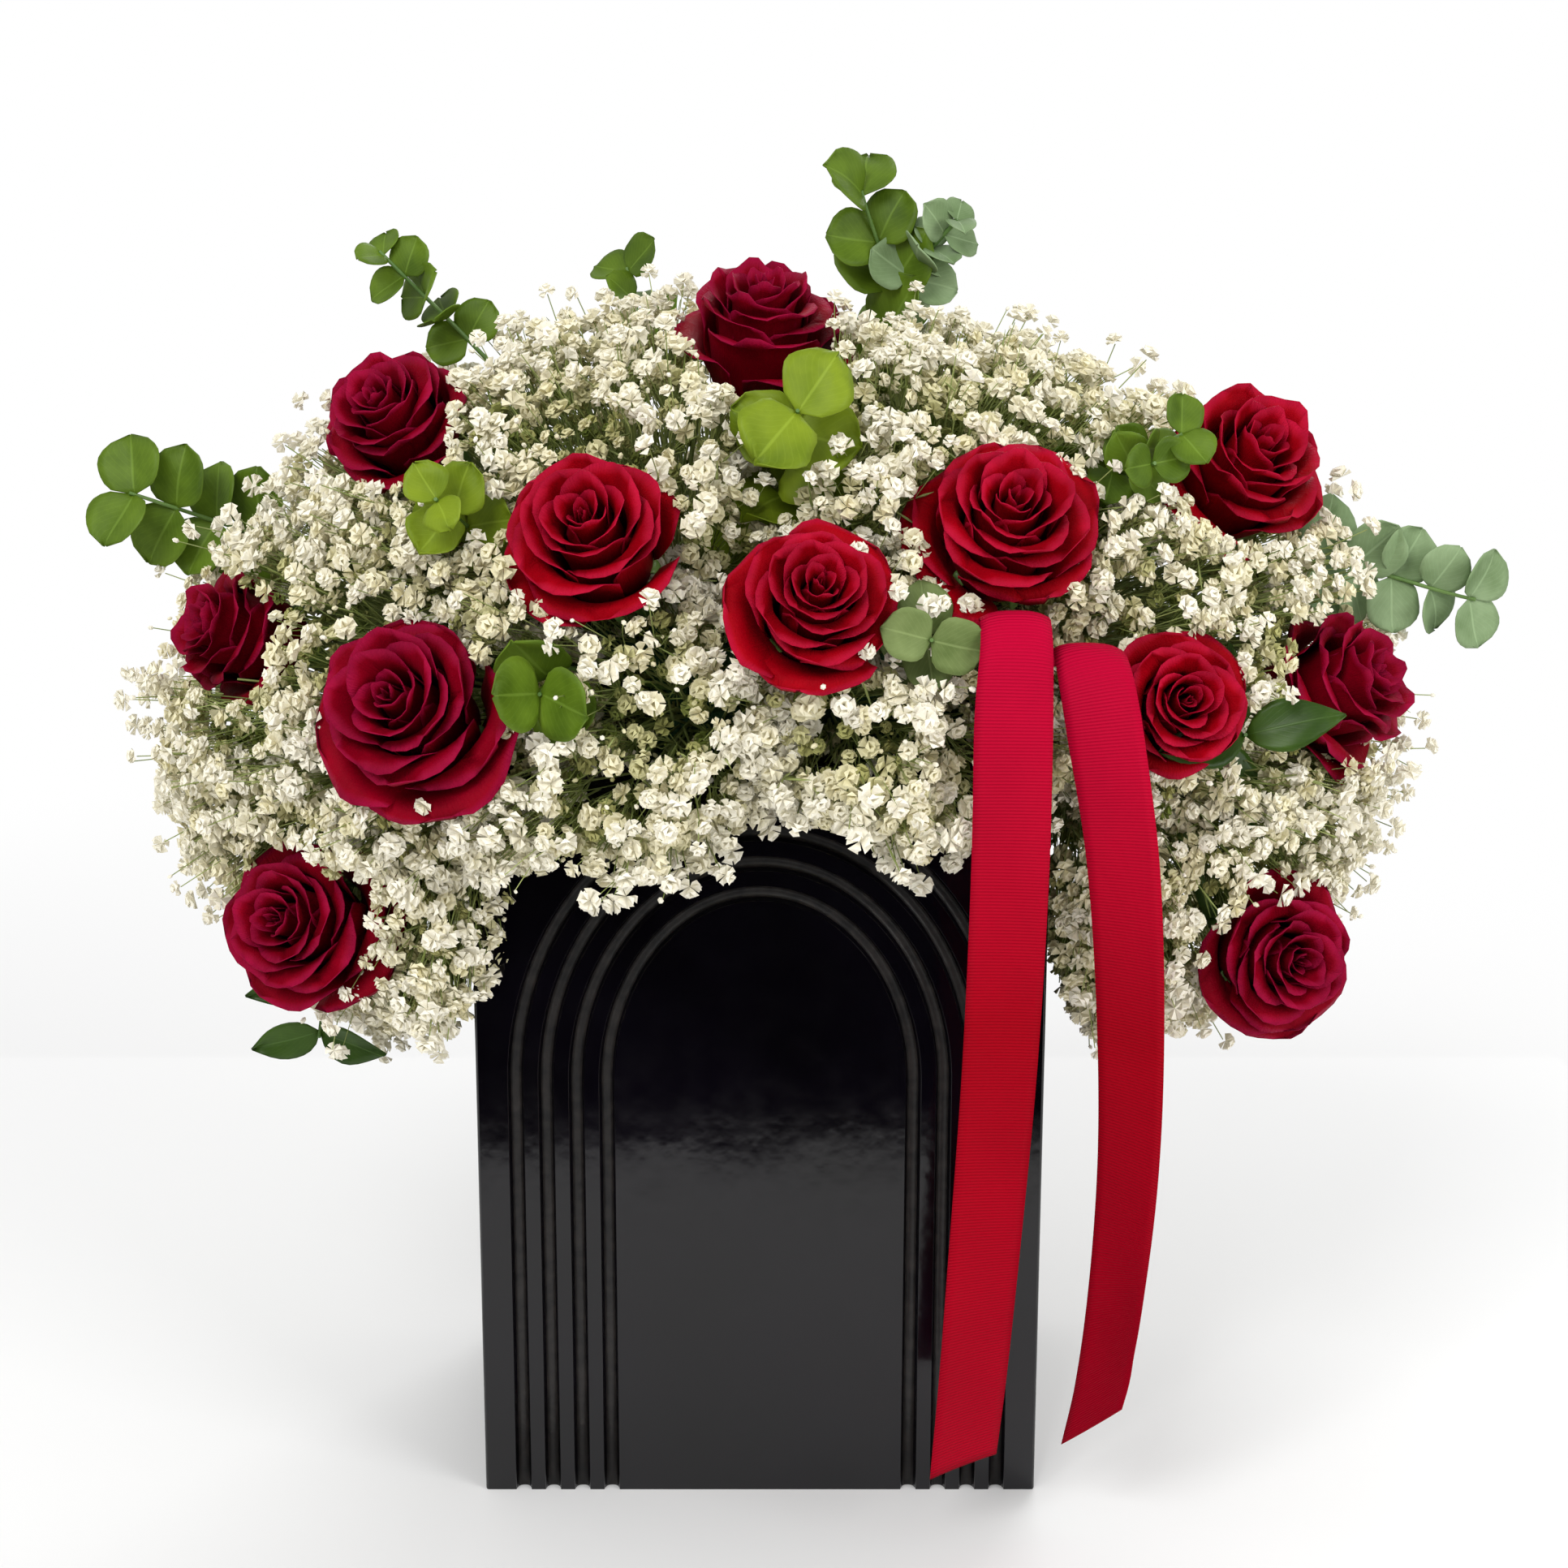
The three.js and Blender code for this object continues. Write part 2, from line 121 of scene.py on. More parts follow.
def ramp(tree, factor, *stops):
    """A colour ramp through stops of (position, colour)."""
    made = node(tree, "ValToRGB", Fac=factor)
    elements = made.color_ramp.elements
    while len(elements) < len(stops):
        elements.new(0.5)
    for element, (position, colour) in zip(elements, stops):
        element.position = position
        element.color = (*colour, 1)
    return made.outputs["Color"]


def coloured(tree, shader, factor, *stops):
    tree.links.new(ramp(tree, factor, *stops), shader.inputs["Base Color"])


def bumped(tree, shader, height, distance):
    made = node(tree, "Bump", Height=height, Distance=distance, Strength=1.0)
    tree.links.new(made.outputs["Normal"], shader.inputs["Normal"])


def mesh_object(name, bm, *materials):
    mesh = bpy.data.meshes.new(name)
    bm.to_mesh(mesh)
    bm.free()
    for material in materials:
        mesh.materials.append(material)
    made = bpy.data.objects.new(name, mesh)
    bpy.context.collection.objects.link(made)
    return made


floor_paint, tree, shader = painted("floor_paint", 0.7)
far = node(tree, "VectorMath", {"operation": "LENGTH"}, _0=in_place(tree)).outputs["Value"]
share = node(tree, "MapRange", {"interpolation_type": "SMOOTHSTEP"}, _0=far, _1=0.25, _2=1.3)
shader.inputs["Base Color"].default_value = (0.86, 0.86, 0.86, 1)
haze = node(tree, "Emission", Strength=1.0)
blend = node(tree, "MixShader", Fac=share.outputs["Result"], _1=shader.outputs[0], _2=haze.outputs[0])
tree.links.new(blend.outputs[0], tree.nodes["Material Output"].inputs["Surface"])
bm = bmesh.new()
bmesh.ops.create_circle(bm, cap_ends=True, segments=64, radius=40)
floor = mesh_object("studio_floor", bm, floor_paint)

CARD_GAP, CARD_LIFT = 0.350, 0.001
card_paint, tree, shader = painted("card_paint", 1.0)
shader.inputs["Base Color"].default_value = (0.002, 0.002, 0.0025, 1)
shader.inputs["Specular IOR Level"].default_value = 0
bm = bmesh.new()
card_hole = bmesh.ops.create_grid(bm, x_segments=1, y_segments=1, size=1.0)["verts"]
for v in card_hole:
    v.co.x *= front_high.x + CARD_GAP
    v.co.y *= -front_low.y + CARD_GAP
    v.co.z = CARD_LIFT
bmesh.ops.delete(bm, geom=list(bm.faces), context="FACES_ONLY")
spread = bmesh.ops.extrude_edge_only(bm, edges=list(bm.edges))["geom"]
bmesh.ops.scale(bm, vec=(20, 20, 1), verts=[g for g in spread if isinstance(g, bmesh.types.BMVert)])
card = mesh_object("mirror_card", bm, card_paint)
card.visible_camera = False
card.visible_diffuse = False
card.visible_shadow = False
card.visible_transmission = False


def soft_light(name, place, size, power):
    light = bpy.data.lights.new(name, "AREA")
    light.size = size
    light.energy = power
    made = bpy.data.objects.new(name, light)
    made.location = place
    made.rotation_euler = (Vector((0, 0, 0.28)) - Vector(place)).to_track_quat("-Z", "Y").to_euler()
    bpy.context.collection.objects.link(made)


soft_light("key_light", (-0.7, -1.6, 1.6), 0.9, 24)
soft_light("fill_light", (1.5, -1.3, 0.9), 1.0, 15)
soft_light("back_light", (0.5, 1.6, 1.5), 1.0, 14)
sky = bpy.data.worlds.new("sky")
sky.use_nodes = True
seen = node(sky.node_tree, "LightPath").outputs["Is Camera Ray"]
strength = node(sky.node_tree, "MapRange", _0=seen, _3=0.68, _4=1.0).outputs["Result"]
sky.node_tree.links.new(strength, sky.node_tree.nodes["Background"].inputs["Strength"])
sky.node_tree.nodes["Background"].inputs["Color"].default_value = (1, 1, 1, 1)
bpy.context.scene.world = sky
bpy.context.scene.view_settings.view_transform = "Standard"

# ---- The box: five 8 mm boards glued edge to face, sprayed with gloss black lacquer, which lies
# with a slight orange peel. The paint rounds every edge. The front has four arched grooves, cut
# one outside the other with a round-nosed cutter and open at the foot.

lacquer, tree, shader = painted("black_lacquer", 0.12)
place = in_place(tree)
cloudy = cloud(tree, place, 14.0, 3.0)
coloured(tree, shader, cloudy, (0.35, (0.0008, 0.0005, 0.0012)), (0.7, (0.0020, 0.0014, 0.0032)))
polish = ranged(tree, cloud(tree, place, 95.0), 0.3, 0.7, 0.09, 0.15)
tree.links.new(polish, shader.inputs["Roughness"])
peel = cloud(tree, place, 190.0, 1.5)
wave = cloud(tree, place, 28.0, 1.0)
bumped(tree, shader, maths(tree, "MULTIPLY_ADD", wave, 5.0, peel), 0.00006)

groove_paint, tree, shader = painted("groove_paint", 0.42)
cutter = cloud(tree, in_place(tree), 260.0, 4.0)
coloured(tree, shader, cutter, (0.35, (0.004, 0.0035, 0.0035)), (0.7, (0.020, 0.016, 0.014)))
bumped(tree, shader, cutter, 0.0003)

EDGE = 0.0009  # the radius that the paint gives an edge


def rounded(bm, edges):
    made = bmesh.ops.bevel(
        bm, geom=edges, offset=EDGE, segments=3, profile=0.5, affect="EDGES", material=-1
    )
    for face in made["faces"]:
        face.smooth = True


def board(name):
    """A plain board with rounded edges, in the place of its CAD node."""
    low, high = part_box(name)
    bm = bmesh.new()
    bmesh.ops.create_cube(bm, size=1.0)
    bmesh.ops.scale(bm, vec=high - low, verts=bm.verts)
    bmesh.ops.translate(bm, vec=(high + low) / 2, verts=bm.verts)
    rounded(bm, list(bm.edges))
    made = mesh_object(f"{name}_board", bm, lacquer)
    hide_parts(name)
    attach(made, "box")


for name in ("back_panel", "left_panel", "right_panel", "base_panel"):
    board(name)

ARCH_HALF, ARCH_SPRING, ARCH_RISE, ARCH_PITCH = 0.054, 0.1555, 0.069, 0.0107
GROOVES = 4
GROOVE_HALF, GROOVE_DEPTH = 0.0026, 0.0036
LEG_STEPS, ARC_STEPS = 3, 72
HAIR = 1e-5  # closer than this is the same place


def arch_point(offset, step):
    """The place at a step along the arch: up the right leg, over, and down the left leg."""
    half = ARCH_HALF + offset
    if step < LEG_STEPS:
        return half, ARCH_SPRING * step / LEG_STEPS
    if step > LEG_STEPS + ARC_STEPS:
        return -half, ARCH_SPRING * (2 * LEG_STEPS + ARC_STEPS - step) / LEG_STEPS
    angle = math.pi * (step - LEG_STEPS) / ARC_STEPS
    out = Vector((math.cos(angle) / ARCH_HALF, math.sin(angle) / ARCH_RISE)).normalized()
    x = ARCH_HALF * math.cos(angle) + out.x * offset
    return x, ARCH_SPRING + ARCH_RISE * math.sin(angle) + out.y * offset


# Across one groove: the share of its half width, and the share of its depth there.
groove_section = [(-1.35, 0), (-1.08, 0)]
for step in range(-4, 5):
    share = step / 4.4
    groove_section.append((share * 1.06, (1 - abs(share) ** 2.8) ** 0.6 if step else 1.0))
groove_section += [(1.08, 0), (1.35, 0)]
section = [
    (groove * ARCH_PITCH + share * GROOVE_HALF, depth * GROOVE_DEPTH)
    for groove in range(GROOVES)
    for share, depth in groove_section
]
bm = bmesh.new()
along = 2 * LEG_STEPS + ARC_STEPS
grid = bmesh.ops.create_grid(bm, x_segments=along, y_segments=len(section) - 1, size=0.5)["verts"]
chains = {0: {}, len(section) - 1: {}}
for v in grid:
    step = round((v.co.x + 0.5) * along)
    across = round((v.co.y + 0.5) * (len(section) - 1))
    offset, depth = section[across]
    x, z = arch_point(offset, step)
    v.co = (x, front_low.y + depth, z)
    if across in chains:
        chains[across][step] = v
inner, outer = ([chain[k] for k in sorted(chain)] for chain in chains.values())
bm.faces.new(inner)
corners = [(-1, 0), (-1, 1), (1, 1), (1, 0)]
rim = [bm.verts.new((side * front_high.x, front_low.y, top * front_high.z)) for side, top in corners]
bm.faces.new(outer + rim)
for face in bm.faces:
    face.smooth = any(v.co.y > front_low.y + HAIR for v in face.verts)
    face.material_index = int(min(v.co.y for v in face.verts) > front_low.y + 0.5 * GROOVE_DEPTH)
borders = [e for e in bm.edges if len(e.link_faces) == 1]
walls = bmesh.ops.extrude_edge_only(bm, edges=borders)["geom"]
for v in (g for g in walls if isinstance(g, bmesh.types.BMVert)):
    v.co.y = front_high.y
bmesh.ops.holes_fill(bm, edges=[e for e in bm.edges if len(e.link_faces) == 1], sides=0)
bmesh.ops.recalc_face_normals(bm, faces=bm.faces)


def on_rim(v):
    return abs(v.co.x) > front_high.x - HAIR or v.co.z > front_high.z - HAIR


rim_edges = [
    e for e in bm.edges if all(map(on_rim, e.verts)) and e.calc_face_angle(0) > math.radians(60)
]
rounded(bm, rim_edges)
front = mesh_object("grooved_front", bm, lacquer, groove_paint)
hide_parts("front_panel")
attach(front, "box")

# ---- The liner and the foam. The liner is a thin tub of dark recycled plastic. The foam is open
# cell floral foam, cut from bricks with a knife and soaked, so it is dark, damp and crumbly.

liner_plastic, tree, shader = painted("liner_plastic", 0.38)
place = in_place(tree)
mottle = cloud(tree, place, 40.0, 4.0)
coloured(tree, shader, mottle, (0.3, (0.014, 0.021, 0.017)), (0.7, (0.021, 0.029, 0.024)))
bumped(tree, shader, cloud(tree, place, 400.0), 0.0001)

wet_foam, tree, shader = painted("wet_foam", 0.95)
place = in_place(tree)
damp = cloud(tree, place, 22.0, 6.0)
coloured(tree, shader, damp, (0.3, (0.020, 0.070, 0.026)), (0.7, (0.055, 0.150, 0.060)))
cells = node(tree, "TexVoronoi", Vector=place, Scale=900.0).outputs["Distance"]
knife = cloud(tree, place, 60.0, 5.0)
bumped(tree, shader, maths(tree, "MULTIPLY_ADD", knife, 3.0, cells), 0.0006)


def finish_node(name, material):
    """Gives a CAD node that stays as it is its finish."""
    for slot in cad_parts[name].material_slots:
        slot.material = material


finish_node("liner", liner_plastic)
for name in ("foam_brick_left", "foam_brick_right", "foam_brick_top"):
    finish_node(name, wet_foam)

# ---- Stems. Each rose stands on a cut stem, pushed into the foam; under its head are the green
# cup and five sepals that bend back. The stems of the sprays and sprigs are thinner.

INTO_FOAM = 0.030  # how deep the stems are pushed
foam_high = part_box("foam_brick_top")[1]
foam_middle = Vector((0, 0, foam_high.z - INTO_FOAM))

fresh_stem, tree, shader = painted("fresh_stem", 0.45)
place = in_place(tree)
streak = cloud(tree, place, 55.0, 3.0)
coloured(tree, shader, streak, (0.3, (0.055, 0.130, 0.020)), (0.7, (0.150, 0.260, 0.060)))
bumped(tree, shader, cloud(tree, place, 700.0), 0.0002)


def smoothstep(low, high, x):
    t = min(1.0, max(0.0, (x - low) / (high - low)))
    return t * t * (3 - 2 * t)


def stem_way(base, facing, neck, over=None):
    """Where a stem runs: from inside the foam, over the rim if it hangs outside, to its base."""
    way = ((over or base) - foam_middle).normalized()
    reach = min(
        foam_high.x / max(abs(way.x), 1e-6),
        foam_high.y / max(abs(way.y), 1e-6),
        (foam_high.z - foam_middle.z) / max(way.z, 1e-6),
    )
    inside = max(reach - INTO_FOAM, 0.6 * reach)
    places = [foam_middle + way * inside, foam_middle + way * reach]
    return places + ([over] if over else []) + [base - facing * neck, base]


SPAN_STEPS = 12


def along_curve(places, count):
    """Places evenly along a centripetal Catmull-Rom curve through the given places."""
    ends = [2 * places[0] - places[1], *places, 2 * places[-1] - places[-2]]
    fine = []
    for a, b, c, d in zip(ends, ends[1:], ends[2:], ends[3:]):
        knots = [0.0]
        for p, q in ((a, b), (b, c), (c, d)):
            knots.append(knots[-1] + max((q - p).length ** 0.5, 1e-6))
        for i in range(SPAN_STEPS):
            t = knots[1] + (knots[2] - knots[1]) * i / SPAN_STEPS

            def mix(p, q, i, j):
                share = (t - knots[i]) / (knots[j] - knots[i])
                return p.lerp(q, share)

            ab, bc, cd = mix(a, b, 0, 1), mix(b, c, 1, 2), mix(c, d, 2, 3)
            fine.append(mix(mix(ab, bc, 0, 2), mix(bc, cd, 1, 3), 1, 2))
    fine.append(places[-1])
    lengths = np.concatenate([[0], np.cumsum([(q - p).length for p, q in zip(fine, fine[1:])])])
    wanted = np.linspace(0, lengths[-1], count)
    found = np.array([[np.interp(w, lengths, [p[k] for p in fine]) for k in range(3)] for w in wanted])
    return [Vector(p) for p in found]


def stalk_mesh(name, runs, thickness, sides=2):
    """Round stalks along runs of places, as one mesh made from a bevelled curve."""
    curve = bpy.data.curves.new(name, "CURVE")
    curve.dimensions = "3D"
    curve.bevel_depth = thickness / 2
    curve.bevel_resolution = sides
    curve.use_fill_caps = True
    for run, widths in runs:
        spline = curve.splines.new("POLY")
        spline.points.add(len(run) - 1)
        for point, place, width in zip(spline.points, run, widths):
            point.co = (*place, 1)
            point.radius = width
    holder = bpy.data.objects.new(name, curve)
    mesh = bpy.data.meshes.new_from_object(holder)
    bpy.data.objects.remove(holder)
    bpy.data.curves.remove(curve)
    return mesh


def turned(direction, spin=0.0):
    """Turns local +Z to the direction after a spin about it."""
    return direction.to_track_quat("Z", "Y").to_matrix().to_4x4() @ Matrix.Rotation(spin, 4, "Z")


def head_of(number):
    """The base, the facing and the diameter of a rose's CAD head."""
    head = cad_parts[f"rose_head_{number}"].data
    places = [v.co.copy() for v in head.vertices]
    middle = sum(places, Vector()) / len(places)
    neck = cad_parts[f"rose_stem_{number}"].data
    tree = BVHTree.FromPolygons([v.co for v in neck.vertices], [p.vertices for p in neck.polygons])
    base = min(places, key=lambda p: tree.find_nearest(p)[3])
    facing = (middle - base).normalized()
    across = 2 * max(((p - base) - (p - base).project(facing)).length for p in places)
    return base, facing, across


heads = {f"{i:02d}": head_of(f"{i:02d}") for i in range(1, 13)}
# The two lowest roses hang outside the box, so their stems first rise over its rim.
OVER_RIM = {"09": Vector((-0.118, -0.030, 0.296)), "12": Vector((0.122, -0.032, 0.297))}
STEM_THICKNESS, CUP_RADIUS = 0.0050, 0.0062
SEPALS, SEPAL_LENGTH, SEPAL_HALF, SEPAL_THICKNESS = 5, 0.017, 0.0042, 0.0004
NECK = 0.016  # the straight stem under a head


def sepal(bm, base_matrix, turn):
    """A narrow leaf that leaves the cup and bends back down along the stem."""
    verts = bmesh.ops.create_grid(bm, x_segments=4, y_segments=8, size=0.5)["verts"]
    for v in verts:
        across, t = v.co.x * 2, v.co.y + 0.5
        width = SEPAL_HALF * max(0.01, 1 - t) ** 0.7 * (0.65 + 0.8 * t)
        bend = math.radians(60 + 95 * t)
        out = 0.0055 + SEPAL_LENGTH * (math.sin(bend) * 0.35 + 0.55 * t)
        rise = 0.002 + SEPAL_LENGTH * (0.35 * math.sin(t * 3.1) - 0.30 * t * t)
        v.co = Matrix.Rotation(turn, 3, "Z") @ Vector((out, across * width, rise + abs(across) * 0.0008))
    bmesh.ops.transform(bm, matrix=base_matrix, verts=verts)


for number, (base, facing, across) in heads.items():
    widths = [1.0] * 11 + [1.05, 1.25, 1.7]  # the neck swells into the cup
    run = along_curve(stem_way(base, facing, NECK, OVER_RIM.get(number)), len(widths))
    bm = bmesh.new()
    where = Matrix.Translation(base + facing * 0.001) @ turned(facing)
    for k in range(SEPALS):
        sepal(bm, where, math.tau * k / SEPALS)
    bmesh.ops.solidify(bm, geom=list(bm.faces), thickness=SEPAL_THICKNESS)
    cup = bmesh.ops.create_uvsphere(bm, u_segments=16, v_segments=8, radius=CUP_RADIUS)["verts"]
    bmesh.ops.transform(bm, matrix=where, verts=cup)
    stalk = stalk_mesh("stalk", [(run, widths)], STEM_THICKNESS, 3)
    bm.from_mesh(stalk)
    bpy.data.meshes.remove(stalk)
    for face in bm.faces:
        face.smooth = True
    stem = mesh_object(f"rose_{number}_stem", bm, fresh_stem)
    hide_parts(f"rose_stem_{number}")
    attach(stem, "arrangement")

# ---- Roses. Each bloom is one piece of twenty-four petals in a spiral, each a golden angle round
# from the last. The heart is rolled tight, the outer petals lean out, and their rims roll back.
# The petals are velvety red, with painted shade near black towards each petal's base, in the folds
# of the bloom, and a pinker painted highlight on the rims.

GOLDEN_ANGLE = math.radians(137.5)
PETALS = 24
OLDEST = PETALS - 3  # the petals from here on let go and hang out
PETAL_STEPS = 24
PETAL_THICKNESS = 0.00028
noise.seed_set(5)  # the vector noise that crumples petals would otherwise start from the clock


def petal_finish(name, glow, blue):
    """Velvet red: glow is how bright it is, and blue how far it leans to crimson."""
    material, tree, shader = painted(name, 0.5)
    shader.inputs["Sheen Weight"].default_value = 0.05
    shader.inputs["Sheen Roughness"].default_value = 0.35
    shader.inputs["Sheen Tint"].default_value = (1, 0.05, 0.12, 1)
    shader.inputs["Specular IOR Level"].default_value = 0.04
    petal_map = node(tree, "UVMap", {"uv_map": "petal"}).outputs["UV"]
    up = node(tree, "SeparateXYZ", Vector=petal_map).outputs["Y"]
    # Painted light: the red is painted near black at the petal's base, as painted shade, and lighter and
    # pinker at the rim, as a painted highlight.
    tone_with_painted_light = ramp(
        tree, up, (0.0, (0.04, 0.0, 0.001)), (0.45, (0.22, 0.0, blue)), (0.92, (0.34, 0.0, 2 * blue)),
        (0.985, (0.42, 0.005, 5 * blue + 0.015)),
    )
    place = in_place(tree)
    depth = ranged(tree, cloud(tree, place, 70.0, 4.0), 0.3, 0.72, 0.70 * glow, 1.15 * glow)
    tree.links.new(dimmed(tree, tone_with_painted_light, depth), shader.inputs["Base Color"])
    stretch = node(tree, "Mapping", Vector=petal_map, Scale=(26.0, 2.2, 1.0)).outputs["Vector"]
    veins = cloud(tree, stretch, 3.0, 3.0)
    pile = cloud(tree, place, 2600.0, 1.0)
    bumped(tree, shader, maths(tree, "MULTIPLY_ADD", veins, 2.0, pile), 0.00022)
    return material


scarlet = petal_finish("petal_scarlet", 1.0, 0.003)
crimson = petal_finish("petal_crimson", 0.72, 0.007)
CRIMSON_HEADS = ("01", "02", "07", "08", "09", "11", "12")


def smooth_with_map(bm, name, maps):
    """Smooths the faces and lays a UV map from each vertex's place on the flat piece."""
    layer = bm.loops.layers.uv.new(name)
    for face in bm.faces:
        face.smooth = True
        for loop in face.loops:
            loop[layer].uv = maps[loop.vert]


def thicken(piece, thickness, offset=0):
    skin = piece.modifiers.new("skin", "SOLIDIFY")
    skin.thickness = thickness
    skin.offset = offset


def petal_section(radius, order, chance, droop):
    """The petal's side view, from its base to its rim, as places (out, up), and its height."""
    share = order / (PETALS - 1)
    reach = radius * (0.080 + 0.62 * share**0.98) * chance.uniform(0.96, 1.04)
    height = radius * (1.68 + 0.22 * math.sin(share * math.pi) - 0.46 * share**3)
    height *= chance.uniform(0.97, 1.03)
    lean = math.radians(-9 + 22 * share**1.5)
    if order >= OLDEST:
        lean += math.radians(chance.uniform(4, 24)) + droop
    curl = math.radians(14 + 120 * share**1.3) * chance.uniform(0.8, 1.2)
    curl_from = 0.80 - 0.10 * share
    step = 1.12 * height / PETAL_STEPS
    out, up = radius * 0.05, 0.0
    places = []
    for k in range(PETAL_STEPS + 1):
        t = k / PETAL_STEPS
        places.append((out, up))
        cup = math.radians(80) * (1 - smoothstep(0, 0.30, t))
        angle = cup + lean * smoothstep(0.2, 0.5, t) + curl * smoothstep(curl_from, 1.02, t)
        out += step * math.sin(angle)
        up += step * math.cos(angle)
    middle = int(PETAL_STEPS * 0.45)
    girth = places[middle][0]
    placed = [
        (out * reach / girth if k < middle else out - girth + reach, up)
        for k, (out, up) in enumerate(places)
    ]
    return placed, height


def petal(bm, maps, radius, order, chance, turn, droop=0.0):
    """Bends one grid into a petal; maps keeps each vertex's place on the flat petal."""
    share = order / (PETALS - 1)
    places, height = petal_section(radius, order, chance, droop)
    half = math.radians(122 - 58 * share**0.8)
    tip = chance.uniform(0.02, 0.05) + 0.08 * share
    wave = chance.uniform(0, math.tau)
    drift = Vector((chance.uniform(0, 50), chance.uniform(0, 50), order * 3.1))
    verts = bmesh.ops.create_grid(bm, x_segments=13, y_segments=11, size=0.5)["verts"]
    for v in verts:
        s, t = v.co.x * 2, v.co.y + 0.5
        maps[v] = (v.co.x + 0.5, t)
        side = abs(s)
        raised = t * (1 - 0.24 * side**3.2) + tip * t * math.exp(-((s / 0.16) ** 2))
        x = min(raised, 0.9999) * (len(places) - 1)
        (r0, z0), (r1, z1) = places[int(x)], places[int(x) + 1]
        r, z = r0 + (r1 - r0) * (x % 1), z0 + (z1 - z0) * (x % 1)
        z += max(0.0, raised - 1) * height
        angle = turn + s * half * (0.42 + 0.58 * smoothstep(0, 0.55, t))
        r *= 1 + 0.10 * s * (0.4 + 0.6 * t)
        r += radius * (0.02 + 0.10 * share) * side**4 * smoothstep(0.35, 0.9, t)
        r += radius * 0.025 * math.sin(2.6 * s + wave) * t * t * (0.3 + share)
        place = Vector((r * math.cos(angle), r * math.sin(angle), z))
        crumple = noise.noise_vector(place / (radius * 0.55) + drift)
        v.co = place + crumple * radius * (0.02 + 0.055 * share) * smoothstep(0.15, 0.8, t)


# On older blooms one more petal has fallen open, to the side (x, z) seen from the front.
FALLEN_LEAN = math.radians(16)
FALLEN = {
    "01": (1.0, -0.3), "04": (-0.3, -1.0), "05": (-1.0, -0.5), "06": (-1.0, -0.7),
    "08": (0.4, -1.0), "09": (1.0, -0.4), "11": (0.3, -1.0), "12": (0.3, -1.0),
}

for number, (base, facing, across) in heads.items():
    chance = random.Random(f"rose {number}")
    bm = bmesh.new()
    maps = {}
    spin = turned(facing, chance.uniform(0, math.tau))
    for order in range(PETALS):
        turn = order * GOLDEN_ANGLE + chance.uniform(-0.12, 0.12)
        petal(bm, maps, 0.51 * across, order, chance, turn)
    if number in FALLEN:
        x, z = FALLEN[number]
        way = spin.inverted() @ Vector((x, 0, z))
        turn = math.atan2(way.y, way.x)
        petal(bm, maps, 0.53 * across, PETALS - 1, chance, turn, FALLEN_LEAN)
    smooth_with_map(bm, "petal", maps)
    bmesh.ops.transform(bm, matrix=Matrix.Translation(base) @ spin, verts=bm.verts)
    bloom = mesh_object(f"rose_{number}_bloom", bm, crimson if number in CRIMSON_HEADS else scarlet)
    thicken(bloom, PETAL_THICKNESS)
    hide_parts(f"rose_head_{number}")
    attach(bloom, "arrangement")

# ---- Eucalyptus and ruscus. Silver dollar eucalyptus has round leaves with a short point, in
# pairs along a thin stem, bright green with a grey bloom. Ruscus leaves are dark, narrow, glossy.


def leaf_finish(name, dark, light, roughness):
    """Blotched green with a pale rib, side veins and edge."""
    material, tree, shader = painted(name, roughness)
    leaf_map = node(tree, "UVMap", {"uv_map": "leaf"}).outputs["UV"]
    parts = node(tree, "SeparateXYZ", Vector=leaf_map)
    side = maths(tree, "ABSOLUTE", parts.outputs["X"])
    ground = ramp(tree, cloud(tree, in_place(tree), 60.0, 5.0), (0.3, dark), (0.7, light))
    pale = tuple(min(1.0, 1.6 * part + 0.03) for part in light)
    rib = ranged(tree, side, 0.02, 0.06, 0.30, 0.0)
    slant = maths(tree, "MULTIPLY_ADD", side, -0.6, parts.outputs["Y"])
    veins = maths(tree, "SINE", maths(tree, "MULTIPLY", slant, 52.0))
    vein_light = ranged(tree, veins, 0.75, 1.0, 0.0, 0.07)
    edge = ranged(tree, side, 0.90, 1.0, 0.0, 0.16)
    most = maths(tree, "MAXIMUM", maths(tree, "MAXIMUM", rib, vein_light), edge)
    mix = node(tree, "Mix", {"data_type": "RGBA"}, _0=most)
    tree.links.new(ground, mix.inputs[6])
    mix.inputs[7].default_value = (*pale, 1)
    tree.links.new(mix.outputs[2], shader.inputs["Base Color"])
    shader.inputs["Specular IOR Level"].default_value = 0.18
    bumped(tree, shader, most, -0.0002)
    return material


leaf_finishes = {
    "bright": leaf_finish("leaf_bright", (0.095, 0.150, 0.003), (0.200, 0.275, 0.012), 0.50),
    "green": leaf_finish("leaf_green", (0.048, 0.092, 0.003), (0.120, 0.200, 0.012), 0.50),
    "sage": leaf_finish("leaf_sage", (0.070, 0.110, 0.022), (0.190, 0.250, 0.085), 0.55),
    "grey": leaf_finish("leaf_grey", (0.120, 0.190, 0.075), (0.260, 0.360, 0.190), 0.60),
    "dark": leaf_finish("leaf_dark", (0.018, 0.045, 0.004), (0.045, 0.095, 0.010), 0.35),
}


